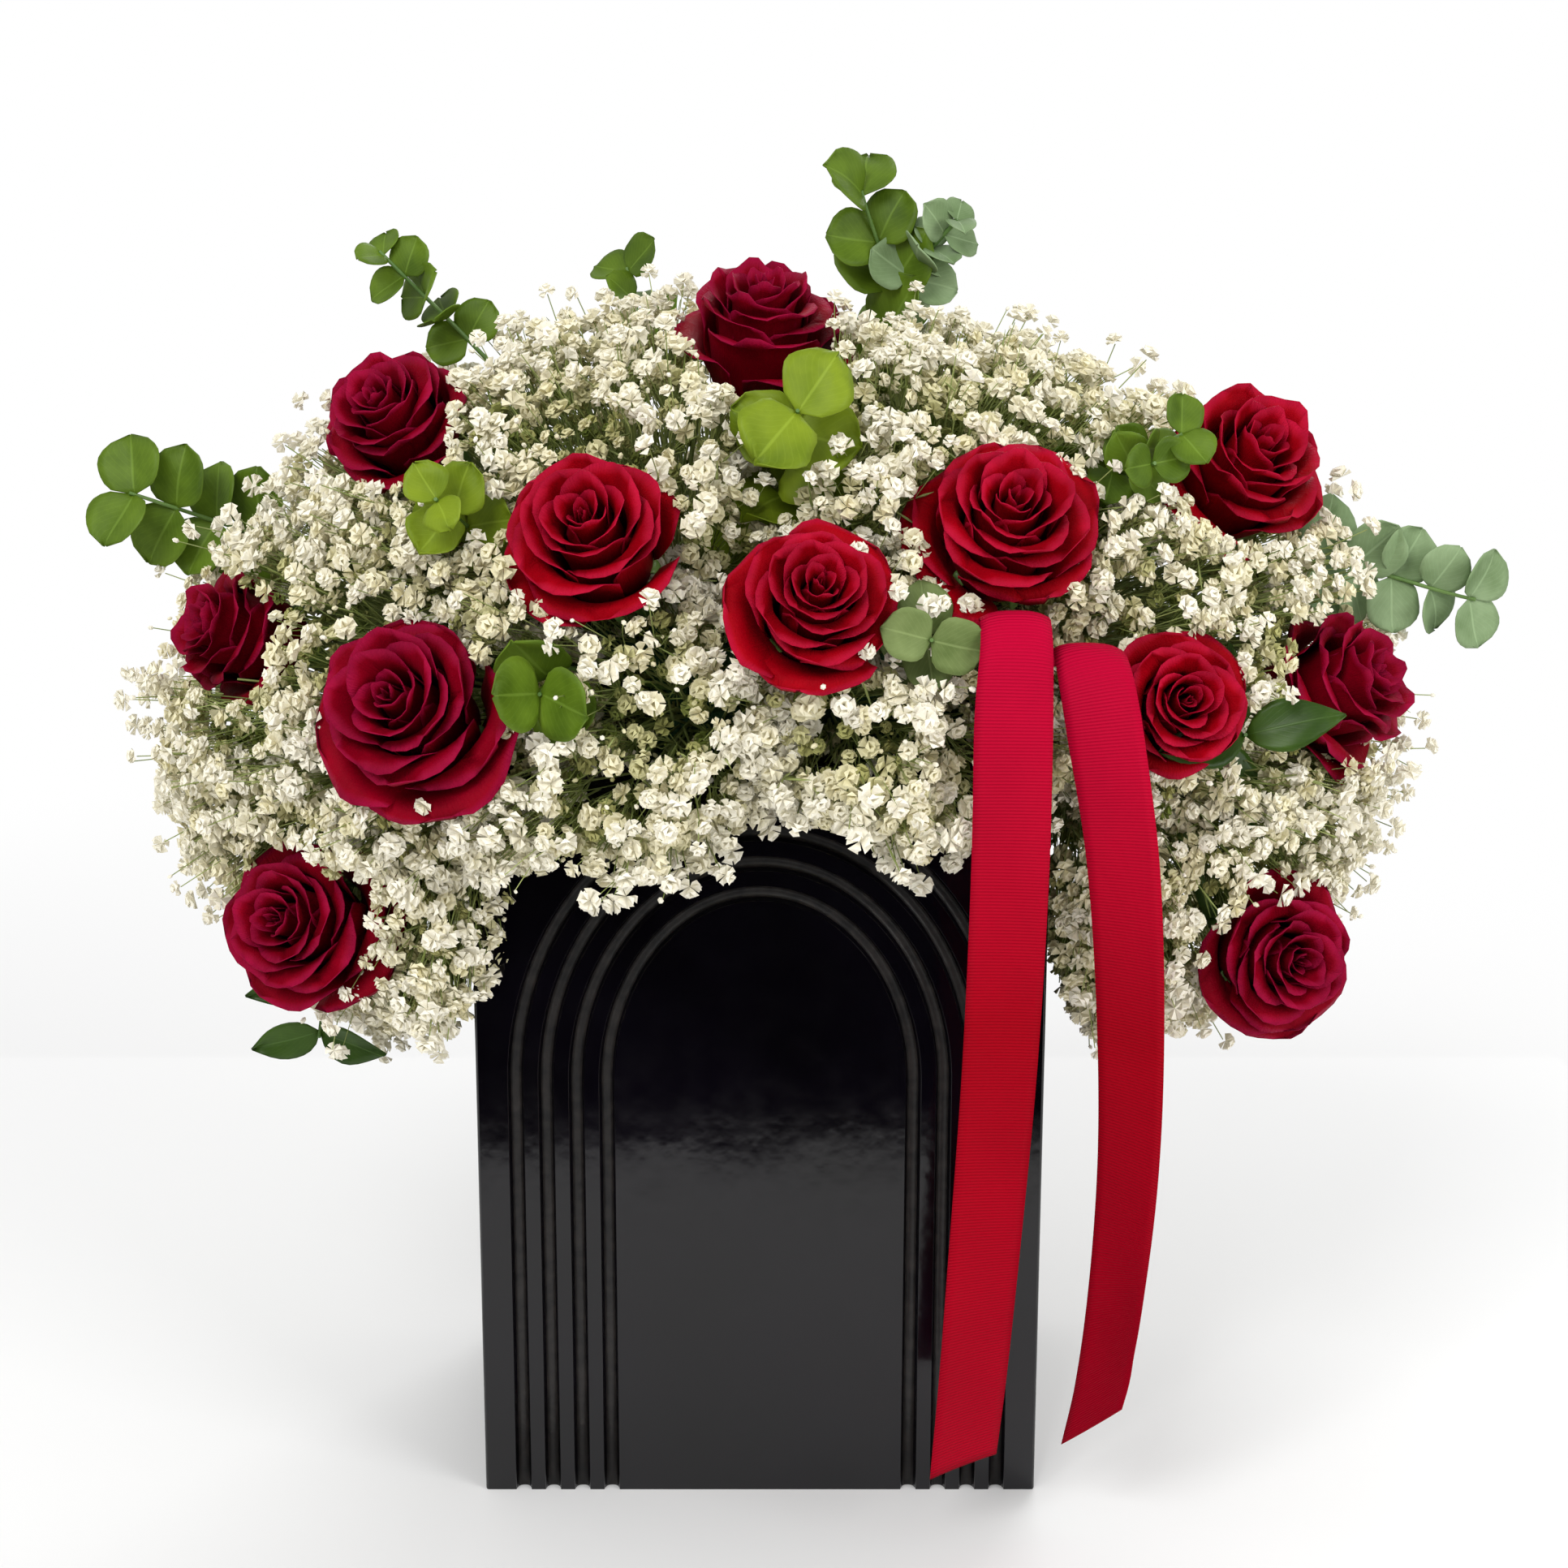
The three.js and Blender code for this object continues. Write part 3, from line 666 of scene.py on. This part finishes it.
def leaf(bm, maps, where, length, width, narrow, crumple, chance):
    """Bends one grid into a leaf that starts at the origin and lies along local Y."""
    fold = chance.uniform(0.08, 0.35)
    droop = chance.uniform(-0.25, 0.55)
    wave = chance.uniform(0, math.tau)
    verts = bmesh.ops.create_grid(bm, x_segments=8, y_segments=9, size=0.5)["verts"]
    for v in verts:
        s, t = v.co.x * 2, v.co.y + 0.5
        maps[v] = (s, t)
        if narrow:
            outline = math.sin(math.pi * min(t, 0.999) ** 0.8) ** 0.9
        else:
            outline = (1 - abs(2 * min(t, 0.998) ** 0.94 - 1) ** 2.3) ** 0.55
        x = s * max(outline, 0.03) * width / 2
        rise = fold * abs(x) - droop * length * t * t * 0.5
        rise += crumple * length * math.sin(3.4 * s + 5 * t + wave) * t
        v.co = (x * (1 + crumple * math.sin(9 * t + wave)), length * t, rise)
    bmesh.ops.transform(bm, matrix=where, verts=verts)


# Each sprig: the last two places of its stem, its leaf length, its pairs, its finish, the degrees
# that each pair turns from the last, and how much the leaves point along the stem.
SPRIGS = {
    "eucalyptus_far_left": ((-0.176, 0.012, 0.336), (-0.227, -0.012, 0.357), 0.024, 4, "green", 6, 0.25),
    "eucalyptus_top_left": ((-0.092, -0.008, 0.398), (-0.134, -0.014, 0.442), 0.016, 5, "green", 65, 0.4),
    "eucalyptus_top": ((0.048, 0.010, 0.416), (0.036, -0.002, 0.463), 0.029, 6, "green", 48, 0.9),
    "eucalyptus_centre": ((0.010, -0.074, 0.372), (0.012, -0.108, 0.392), 0.029, 5, "bright", 62, 0.3),
    "eucalyptus_left": ((-0.092, -0.078, 0.348), (-0.104, -0.110, 0.364), 0.020, 5, "bright", 66, 0.3),
    "eucalyptus_low_left": ((-0.064, -0.092, 0.306), (-0.070, -0.130, 0.304), 0.022, 2, "green", 50, 0.9),
    "eucalyptus_low_right": ((0.050, -0.095, 0.318), (0.054, -0.134, 0.322), 0.020, 4, "sage", 66, 0.3),
    "eucalyptus_right": ((0.112, -0.062, 0.366), (0.129, -0.092, 0.374), 0.018, 5, "green", 66, 0.4),
    "eucalyptus_far_right": ((0.186, -0.022, 0.334), (0.254, -0.032, 0.321), 0.022, 5, "grey", 5, 0.5),
    "eucalyptus_back": ((-0.040, 0.060, 0.392), (-0.052, 0.082, 0.436), 0.020, 5, "green", 85, 0.4),
    "ruscus_left": ((-0.156, -0.006, 0.216), (-0.160, -0.046, 0.163), 0.027, 2, "dark", 25, 0.35),
    "ruscus_right": ((0.158, -0.074, 0.278), (0.160, -0.104, 0.286), 0.034, 2, "dark", 12, 0.3),
}
# The one that hangs outside the box, and where its stem passes over the rim.
HUNG_OVER = {"ruscus_left": Vector((-0.114, 0.006, 0.302))}
# A side shoot: its sprig, how far along the stem it leaves, its tip, its leaf length and pairs.
SHOOTS = {
    "eucalyptus_top": (0.70, (0.070, -0.006, 0.453), 0.016, 5, "grey"),
    "eucalyptus_right": (0.80, (0.139, -0.084, 0.383), 0.014, 3, "green"),
}
SPRIG_STEPS, SHOOT_STEPS = 40, 20
SPRIG_STALK, LEAF_THICKNESS = 0.0020, 0.00035
leaf_places = []


def leafy_run(run, size, pairs, finish, turn, lean, chance):
    """The leaves of a stem, in pairs up to its tip, as one bmesh."""
    bm = bmesh.new()
    maps = {}
    last = len(run) - 1
    total = sum((b - a).length for a, b in zip(run, run[1:]))
    leafy = min(0.55, (pairs - 0.4) * size * 0.56 / total)
    for pair in range(pairs):
        spot = (0.99 - leafy + leafy * pair / max(pairs - 1, 1)) * last
        root = run[int(spot)].lerp(run[min(int(spot) + 1, last)], spot % 1)
        along = (run[min(int(spot) + 1, last)] - run[max(int(spot) - 1, 0)]).normalized()
        side = Vector((0, -1, 0)).cross(along).normalized()
        side = Matrix.Rotation(math.radians(pair * turn + chance.uniform(-18, 18)), 3, along) @ side
        length = size * (1.06 - 0.07 * pair) * chance.uniform(0.90, 1.10)
        for hand in (-1, 1):
            way = (hand * side + along * lean * chance.uniform(0.5, 1.6)).normalized()
            up = way.cross(along).cross(way).normalized() * 0.45
            up = (up + Vector((chance.uniform(-0.4, 0.4), -1.0, chance.uniform(-0.2, 0.6)))).normalized()
            across = way.cross(up).normalized()
            where = Matrix((across, way, across.cross(way))).transposed().to_4x4()
            where.translation = root
            narrow = finish == "dark"
            width = length * (0.55 if narrow else chance.uniform(0.95, 1.12))
            crumple = 0.085 if finish == "bright" else 0.03
            leaf(bm, maps, where, length, width, narrow, crumple, chance)
    smooth_with_map(bm, "leaf", maps)
    return bm


def sprig_pieces(name, node_name, run, size, pairs, finish, turn, lean):
    """The leaves and the stalk of a sprig or of its side shoot."""
    bm = leafy_run(run, size, pairs, finish, turn, lean, random.Random(name))
    blades = mesh_object(f"{name}_leaves", bm, leaf_finishes[finish])
    leaf_places.extend(v.co.copy() for v in blades.data.vertices)
    thicken(blades, LEAF_THICKNESS, offset=-1)
    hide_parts(node_name)
    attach(blades, "arrangement")
    widths = [1.25 - 0.6 * k / (len(run) - 1) for k in range(len(run))]
    stalk = bpy.data.objects.new(f"{name}_stalk", stalk_mesh("stalk", [(run, widths)], SPRIG_STALK))
    stalk.data.materials.append(fresh_stem)
    bpy.context.collection.objects.link(stalk)
    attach(stalk, "arrangement")


for name, (start, tip, size, pairs, finish, turn, lean) in SPRIGS.items():
    start, tip = Vector(start), Vector(tip)
    facing = (tip - start).normalized()
    way = stem_way(tip, facing, (tip - start).length, HUNG_OVER.get(name))
    run = along_curve(way, SPRIG_STEPS)
    sprig_pieces(name, name, run, size, pairs, finish, turn, lean)
    if name in SHOOTS:
        share, tip, size, pairs, finish = SHOOTS[name]
        root = run[int(share * (SPRIG_STEPS - 1))]
        heel = root.lerp(Vector(tip), 0.4) + facing * 0.006
        shoot = along_curve([root, heel, Vector(tip)], SHOOT_STEPS)
        sprig_pieces(f"{name}_shoot", name, shoot, size, pairs, finish, 70, 0.4)

# ---- The ribbon: one length of 25 mm grosgrain, folded over a wooden pick, with two tails cut on
# the slant. It has fine cross ribs and woven edges. Its fold, which faces up, is painted lighter
# and pinker as a painted highlight.

RIBBON_WIDTH, RIBBON_THICKNESS = 0.025, 0.0004
RIB_PITCH = 0.0011
RIBBON_STEPS = 90

ribbon_weave, tree, shader = painted("ribbon_weave", 0.48)
shader.inputs["Sheen Weight"].default_value = 0.05
shader.inputs["Sheen Tint"].default_value = (1, 0.1, 0.15, 1)
shader.inputs["Specular IOR Level"].default_value = 0.035
ribbon_map = node(tree, "UVMap", {"uv_map": "ribbon"}).outputs["UV"]
parts = node(tree, "SeparateXYZ", Vector=ribbon_map)
ribs = maths(tree, "SINE", maths(tree, "MULTIPLY", parts.outputs["Y"], math.tau / RIB_PITCH))
place = in_place(tree)
# Painted light: the ribbon is painted lighter and pinker at the fold, which faces up to the light, as a
# painted highlight, and deeper red down the tails.
ground = ramp(
    tree, parts.outputs["Y"], (0.0, (0.50, 0.001, 0.036)), (0.09, (0.42, 0.001, 0.020)),
    (0.16, (0.32, 0.0, 0.007)), (0.33, (0.34, 0.0, 0.012)),
)
fade = ranged(tree, cloud(tree, place, 18.0, 3.0), 0.3, 0.7, 0.90, 1.08)
shade = ranged(tree, ribs, -1.0, 1.0, 0.88, 1.04)
tree.links.new(dimmed(tree, dimmed(tree, ground, fade), shade), shader.inputs["Base Color"])
thread = cloud(tree, place, 2200.0)
bumped(tree, shader, maths(tree, "MULTIPLY_ADD", thread, 0.5, ribs), 0.00012)

# Each tail: its side view as places (y, z), how far its middle stands to the side at each, and
# the turn of its face there in degrees, from the fold to the cut end.
TAILS = {
    "left": [
        (-0.112, 0.322, 0.0805, 0), (-0.121, 0.3285, 0.0805, 0), (-0.131, 0.330, 0.0805, 0),
        (-0.1365, 0.322, 0.0805, 0), (-0.1375, 0.300, 0.0800, 3), (-0.134, 0.250, 0.0803, 4),
        (-0.127, 0.180, 0.0790, -4), (-0.122, 0.110, 0.0755, -12), (-0.119, 0.060, 0.0725, -18),
        (-0.117, 0.028, 0.0700, -23),
    ],
    "right": [
        (-0.108, 0.310, 0.1030, 0), (-0.118, 0.3175, 0.1035, 0), (-0.128, 0.3195, 0.1040, 4),
        (-0.1345, 0.312, 0.1055, 12), (-0.136, 0.290, 0.1095, 24), (-0.132, 0.250, 0.1165, 30),
        (-0.126, 0.195, 0.1215, 38), (-0.120, 0.140, 0.1232, 46), (-0.115, 0.085, 0.1205, 54),
        (-0.112, 0.052, 0.1165, 60), (-0.110, 0.028, 0.1120, 62),
    ],
}


def ribbon_tail(name, places, slant):
    """A flat strip bent along its side view; the cut end is slant longer on the left edge."""
    run = along_curve([Vector((x, y, z)) for y, z, x, _ in places], RIBBON_STEPS + 1)
    lengths = [0.0]
    for a, b in zip(run, run[1:]):
        lengths.append(lengths[-1] + (b - a).length)
    marks = []
    for y, z, x, turn in places:
        nearest = min(range(len(run)), key=lambda k: (run[k] - Vector((x, y, z))).length)
        marks.append((lengths[nearest], turn))
    bm = bmesh.new()
    maps = {}
    verts = bmesh.ops.create_grid(bm, x_segments=8, y_segments=RIBBON_STEPS, size=0.5)["verts"]
    for v in verts:
        across, t = v.co.x * 2, v.co.y + 0.5
        cut = slant * (across + 1) / 2 * smoothstep(0.65, 1, t)
        x = t * RIBBON_STEPS * 0.99999
        k = int(x)
        middle = run[k].lerp(run[k + 1], x - k)
        along = (run[min(k + 2, RIBBON_STEPS)] - run[max(k - 1, 0)]).normalized()
        turn = np.interp(lengths[k], [m[0] for m in marks], [m[1] for m in marks])
        side = Matrix.Rotation(math.radians(-turn), 3, "Z") @ Vector((1, 0, 0))
        side = (side - along * side.dot(along)).normalized()
        maps[v] = (v.co.x + 0.5, t * lengths[-1])
        pinch = 0.86 + 0.14 * smoothstep(0.02, 0.20, t)
        v.co = middle + side * across * pinch * RIBBON_WIDTH / 2 - along * cut
        v.co.z -= 0.0022 * abs(across) ** 3 * (1 - smoothstep(0.06, 0.16, t))
        v.co += side.cross(along) * 0.0006 * (1 - across * across) * smoothstep(0.1, 0.3, t)
    smooth_with_map(bm, "ribbon", maps)
    tail = mesh_object(f"ribbon_{name}", bm, ribbon_weave)
    thicken(tail, RIBBON_THICKNESS)
    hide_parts(f"ribbon_tail_{name}")
    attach(tail, "arrangement")
    return run


ribbon_runs = ribbon_tail("left", TAILS["left"], 0.006) + ribbon_tail("right", TAILS["right"], 0.030)

birch, tree, shader = painted("birch_pick", 0.65)
grain = cloud(tree, in_place(tree), 90.0, 4.0, distortion=1.5)
coloured(tree, shader, grain, (0.3, (0.40, 0.25, 0.12)), (0.7, (0.62, 0.44, 0.24)))
bumped(tree, shader, grain, 0.0003)
finish_node("ribbon_pick", birch)

# ---- Gypsophila. Each spray is a mass of fine forking stalks, and each stalk ends in a floret of
# small wedge-shaped petals in three whorls, or in a bud. The florets are cream white; those
# deeper in the spray are painted duller, darker and greener, as painted shade. They cover the
# outside of the CAD solid of their spray.

floret_white, tree, shader = painted("floret_white", 0.85)
shader.inputs["Specular IOR Level"].default_value = 0.15
# Painted shade: the depth shade that each floret carries darkens it from cream through olive to dark
# green.
depth_shade = node(tree, "Attribute", {"attribute_name": "depth_shade"}).outputs["Fac"]
tone_with_painted_light = ramp(
    tree, depth_shade, (0.0, (0.94, 0.90, 0.76)), (0.40, (0.86, 0.80, 0.54)), (0.70, (0.46, 0.45, 0.17)),
    (1.0, (0.15, 0.19, 0.035)),
)
speck = cloud(tree, in_place(tree), 900.0)
depth = ranged(tree, speck, 0.3, 0.7, 0.88, 1.0)
tree.links.new(dimmed(tree, tone_with_painted_light, depth), shader.inputs["Base Color"])
bumped(tree, shader, speck, 0.0002)

fine_stalk, tree, shader = painted("fine_stalk", 0.6)
place = in_place(tree)
tint = cloud(tree, place, 30.0, 3.0)
coloured(tree, shader, tint, (0.3, (0.150, 0.205, 0.035)), (0.7, (0.400, 0.460, 0.160)))
bumped(tree, shader, cloud(tree, place, 1500.0), 0.0001)


# Each whorl of a floret: its petals, their tilt in degrees and their length.
WHORLS = ((5, 104, 0.92), (4, 62, 0.98), (3, 24, 0.90))


def triangles_of(bm):
    """The bmesh as an array of places and one of triangles."""
    bmesh.ops.triangulate(bm, faces=bm.faces)
    bmesh.ops.recalc_face_normals(bm, faces=bm.faces)
    bm.verts.index_update()
    shape = (
        np.array([v.co for v in bm.verts]),
        np.array([[v.index for v in f.verts] for f in bm.faces]),
    )
    bm.free()
    return shape


def floret(openness, chance):
    """A floret of one unit across: wedges with blunt ends, in whorls that open outwards."""
    bm = bmesh.new()
    for count, tilt, size in WHORLS:
        for k in range(count):
            wedge = bmesh.ops.create_cone(
                bm, segments=3, radius1=0.30, radius2=0, depth=0.55, cap_ends=True
            )["verts"]
            bmesh.ops.scale(bm, vec=(1.0, 0.46, size), verts=wedge)
            bmesh.ops.rotate(bm, matrix=Matrix.Rotation(math.pi, 3, "X"), verts=wedge)
            bmesh.ops.translate(bm, vec=(0, 0, 0.27), verts=wedge)
            lean = math.radians(tilt * openness + chance.uniform(-16, 16))
            bmesh.ops.rotate(bm, matrix=Matrix.Rotation(lean, 3, "X"), verts=wedge)
            turn = math.tau * (k + chance.uniform(-0.15, 0.15)) / count + tilt
            bmesh.ops.rotate(bm, matrix=Matrix.Rotation(turn, 3, "Z"), verts=wedge)
    bmesh.ops.translate(bm, vec=(0, 0, -0.08), verts=bm.verts)
    return triangles_of(bm)


def bud(chance):
    """A closed bud: a small egg."""
    bm = bmesh.new()
    bmesh.ops.create_icosphere(bm, subdivisions=1, radius=0.22)
    bmesh.ops.scale(bm, vec=(1, 1, 1.35 + chance.uniform(0, 0.2)), verts=bm.verts)
    return triangles_of(bm)


shapes_chance = random.Random("floret shapes")
open_florets = [floret(openness, shapes_chance) for openness in (1.0, 0.92, 0.82, 0.68)]
buds = [bud(shapes_chance) for _ in range(2)]


def planted(name, plants, material):
    """One mesh of florets: each plant is a shape, a placement matrix and its share of painted shade."""
    places, faces, depth_shades, start = [], [], [], 0
    for (points, triangles), where, depth_shade in plants:
        turn = np.array(where.to_3x3())
        places.append(points @ turn.T + np.array(where.translation))
        faces.append(triangles + start)
        depth_shades.append(np.full(len(points), depth_shade))
        start += len(points)
    mesh = bpy.data.meshes.new(name)
    mesh.from_pydata(np.concatenate(places), [], np.concatenate(faces))
    mesh.attributes.new("depth_shade", "FLOAT", "POINT").data.foreach_set("value", np.concatenate(depth_shades))
    mesh.materials.append(material)
    made = bpy.data.objects.new(name, mesh)
    bpy.context.collection.objects.link(made)
    return made


# Each spray, and where its stalks gather, if that isn't between its middle and the heart.
SPRAYS = {
    "gypsophila_left_low": Vector((-0.110, -0.010, 0.290)),
    "gypsophila_right_low": Vector((0.118, -0.010, 0.290)),
    "gypsophila_left": None,
    "gypsophila_right": None,
    "gypsophila_front_left": None,
    "gypsophila_front_right": None,
    "gypsophila_top_left": None,
    "gypsophila_top_right": None,
    "gypsophila_back_left": None,
    "gypsophila_back_right": None,
}
DENSITY = 35000  # florets to the square metre of the outside
TRIES = 1.9  # places tried for each floret that is wanted
FULLER = {
    "gypsophila_left_low": 1.25, "gypsophila_right_low": 1.35, "gypsophila_front_left": 0.90,
    "gypsophila_front_right": 0.90,
}
HEART = Vector((0, 0, 0.275))
SEARCH = 0.022  # how far outside a spray another solid hides it
FLORET_CELL, FORK_CELL = 0.0050, 0.021  # the room for one floret, and for one fork
BUD_SHARE, BUD_SIZE, BRACT_SHARE = 0.16, 0.60, 0.30
FINE_STALK = 0.00048
TO_FRONT = Vector((0, -1, 0.12)).normalized()

solid_places, solid_faces = [], []
for name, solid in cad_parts.items():
    if name.startswith("ribbon"):
        continue
    start = len(solid_places)
    solid_places += [v.co.copy() for v in solid.data.vertices]
    solid_faces += [[start + i for i in p.vertices] for p in solid.data.polygons]
solids = BVHTree.FromPolygons(solid_places, solid_faces)

keep_off = KDTree(len(leaf_places) + len(ribbon_runs))
for i, place in enumerate(leaf_places + ribbon_runs):
    keep_off.insert(place, i)
keep_off.balance()


def over_bloom(place, room):
    """Whether the place lies in a bloom, or before one as seen from the front."""
    for base, facing, across in heads.values():
        lift = (place - base).dot(facing)
        if lift > 0.0 and (place - base - facing * lift).length < 0.46 * across + room:
            return True
        ahead = place - base - facing * 0.40 * across
        nearer = ahead.dot(TO_FRONT)
        if nearer > 0.0 and (ahead - TO_FRONT * nearer).length < 0.40 * across + room:
            return True
    return False


def in_the_way(place, size):
    """Whether a floret there would sit in or before a bloom, in a leaf, or in the ribbon."""
    if over_bloom(place, size * 0.4):
        return True
    near, index, distance = keep_off.find(place)
    ribbon = index >= len(leaf_places)
    if ribbon and place.y < near.y + 0.006 and abs(place.x - near.x) < 0.016:
        return True
    return distance < (0.0135 if ribbon else 0.0032)


def cell_of(place, size):
    return tuple(math.floor(x / size) for x in place)


def clear_run(run, widths):
    """The stalk as one run, or nothing where it would cross a bloom."""
    ways = [a.lerp(b, share) for a, b in zip(run, run[1:]) for share in (0.25, 0.5, 0.75, 1)]
    return [] if any(over_bloom(way, 0.001) for way in ways) else [(run, widths)]


for name, gather in SPRAYS.items():
    chance = random.Random(name)
    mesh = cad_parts[name].data
    mesh.calc_loop_triangles()
    corners = [[mesh.vertices[i].co.copy() for i in t.vertices] for t in mesh.loop_triangles]
    areas = [(b - a).cross(c - a).length / 2 for a, b, c in corners]
    tries = int(sum(areas) * DENSITY * FULLER.get(name, 1) * TRIES)
    plants, ends = [], []
    taken = set()
    for a, b, c in chance.choices(corners, weights=areas, k=tries):
        u, w = sorted((chance.random(), chance.random()))
        skin_place = a * u + b * (w - u) + c * (1 - w)
        normal = (b - a).cross(c - a).normalized()
        if solids.ray_cast(skin_place + normal * 0.001, normal, SEARCH)[0] is not None:
            continue
        outward = (normal * 0.6 + (skin_place - HEART).normalized()).normalized()
        roll = chance.random()
        clump = noise.noise(skin_place * 62)
        # Some florets stand at the skin, some under it, some deeper, and the rest stand proud.
        if roll < 0.42:
            depth = chance.uniform(-0.004, 0.003)
        elif roll < 0.72:
            depth = chance.uniform(0.003, 0.011)
        elif roll < (0.88 if "front" in name else 0.93):
            depth = chance.uniform(0.011, 0.026)
        else:
            depth = chance.uniform(-0.016, -0.004)
        if depth < 0.004 and clump < chance.uniform(-0.34, 0.0):
            continue
        lump = noise.noise(skin_place * 30) * 0.008 + clump * 0.005
        place = skin_place + outward * (lump - depth)
        is_bud = chance.random() < BUD_SHARE
        size = chance.uniform(0.0050, 0.0078) * (BUD_SIZE if is_bud else 1)
        size *= 1 - 0.25 * smoothstep(0.004, 0.016, depth)
        cell = cell_of(place, FLORET_CELL)
        if cell in taken or in_the_way(place, size):
            continue
        taken.add(cell)
        tilt = Vector([chance.gauss(0, 0.42) for _ in range(3)])
        facing = (outward + tilt).normalized()
        # Painted shade: florets deeper in the spray, and in thinner clumps, get more shade, with a random
        # spread.
        depth_shade = min(1.0, max(0.0, 0.20 + depth * 34 - clump * 0.25 + chance.gauss(0, 0.11)))
        shape = chance.choice(buds if is_bud else open_florets)
        where = Matrix.Translation(place) @ turned(facing, chance.uniform(0, math.tau))
        plants.append((shape, where @ Matrix.Scale(size, 4), depth_shade))
        ends.append((place, facing, size))
    florets = planted(f"{name}_florets", plants, floret_white)
    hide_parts(name)
    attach(florets, "arrangement")

    # Stalks: florets gather to forks, forks to branches, and branches to the main stem.
    low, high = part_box(name)
    gather = gather or HEART.lerp((low + high) / 2, 0.45)
    forks = {}
    for place, facing, size in ends:
        forks.setdefault(cell_of(place, FORK_CELL), []).append((place, facing, size))
    runs = []
    for group in forks.values():
        middle = sum((place for place, _, _ in group), Vector()) / len(group)
        inward = (gather - middle).normalized()
        fork = middle + inward * chance.uniform(0.020, 0.032)
        for place, facing, size in group:
            foot = place - facing * size * 0.25
            knee = foot.lerp(fork, 0.45) - facing * 0.004
            runs += clear_run((foot, knee, fork), (0.8, 0.9, 1.1))
            if chance.random() < BRACT_SHARE:  # a short narrow leaf where stalks part
                point = knee + (facing + Vector([chance.gauss(0, 0.7) for _ in range(3)])) * 0.006
                runs += clear_run((knee, knee.lerp(point, 0.5), point), (0.8, 2.0, 0.3))
        branch = fork.lerp(gather, 0.5) + Vector([chance.uniform(-0.008, 0.008) for _ in range(3)])
        runs += clear_run((fork, branch, gather), (1.6, 2.2, 3.0))
    stalk = bpy.data.objects.new(f"{name}_stalks", stalk_mesh("stalks", runs, FINE_STALK, 0))
    stalk.data.materials.append(fine_stalk)
    bpy.context.collection.objects.link(stalk)
    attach(stalk, "arrangement")
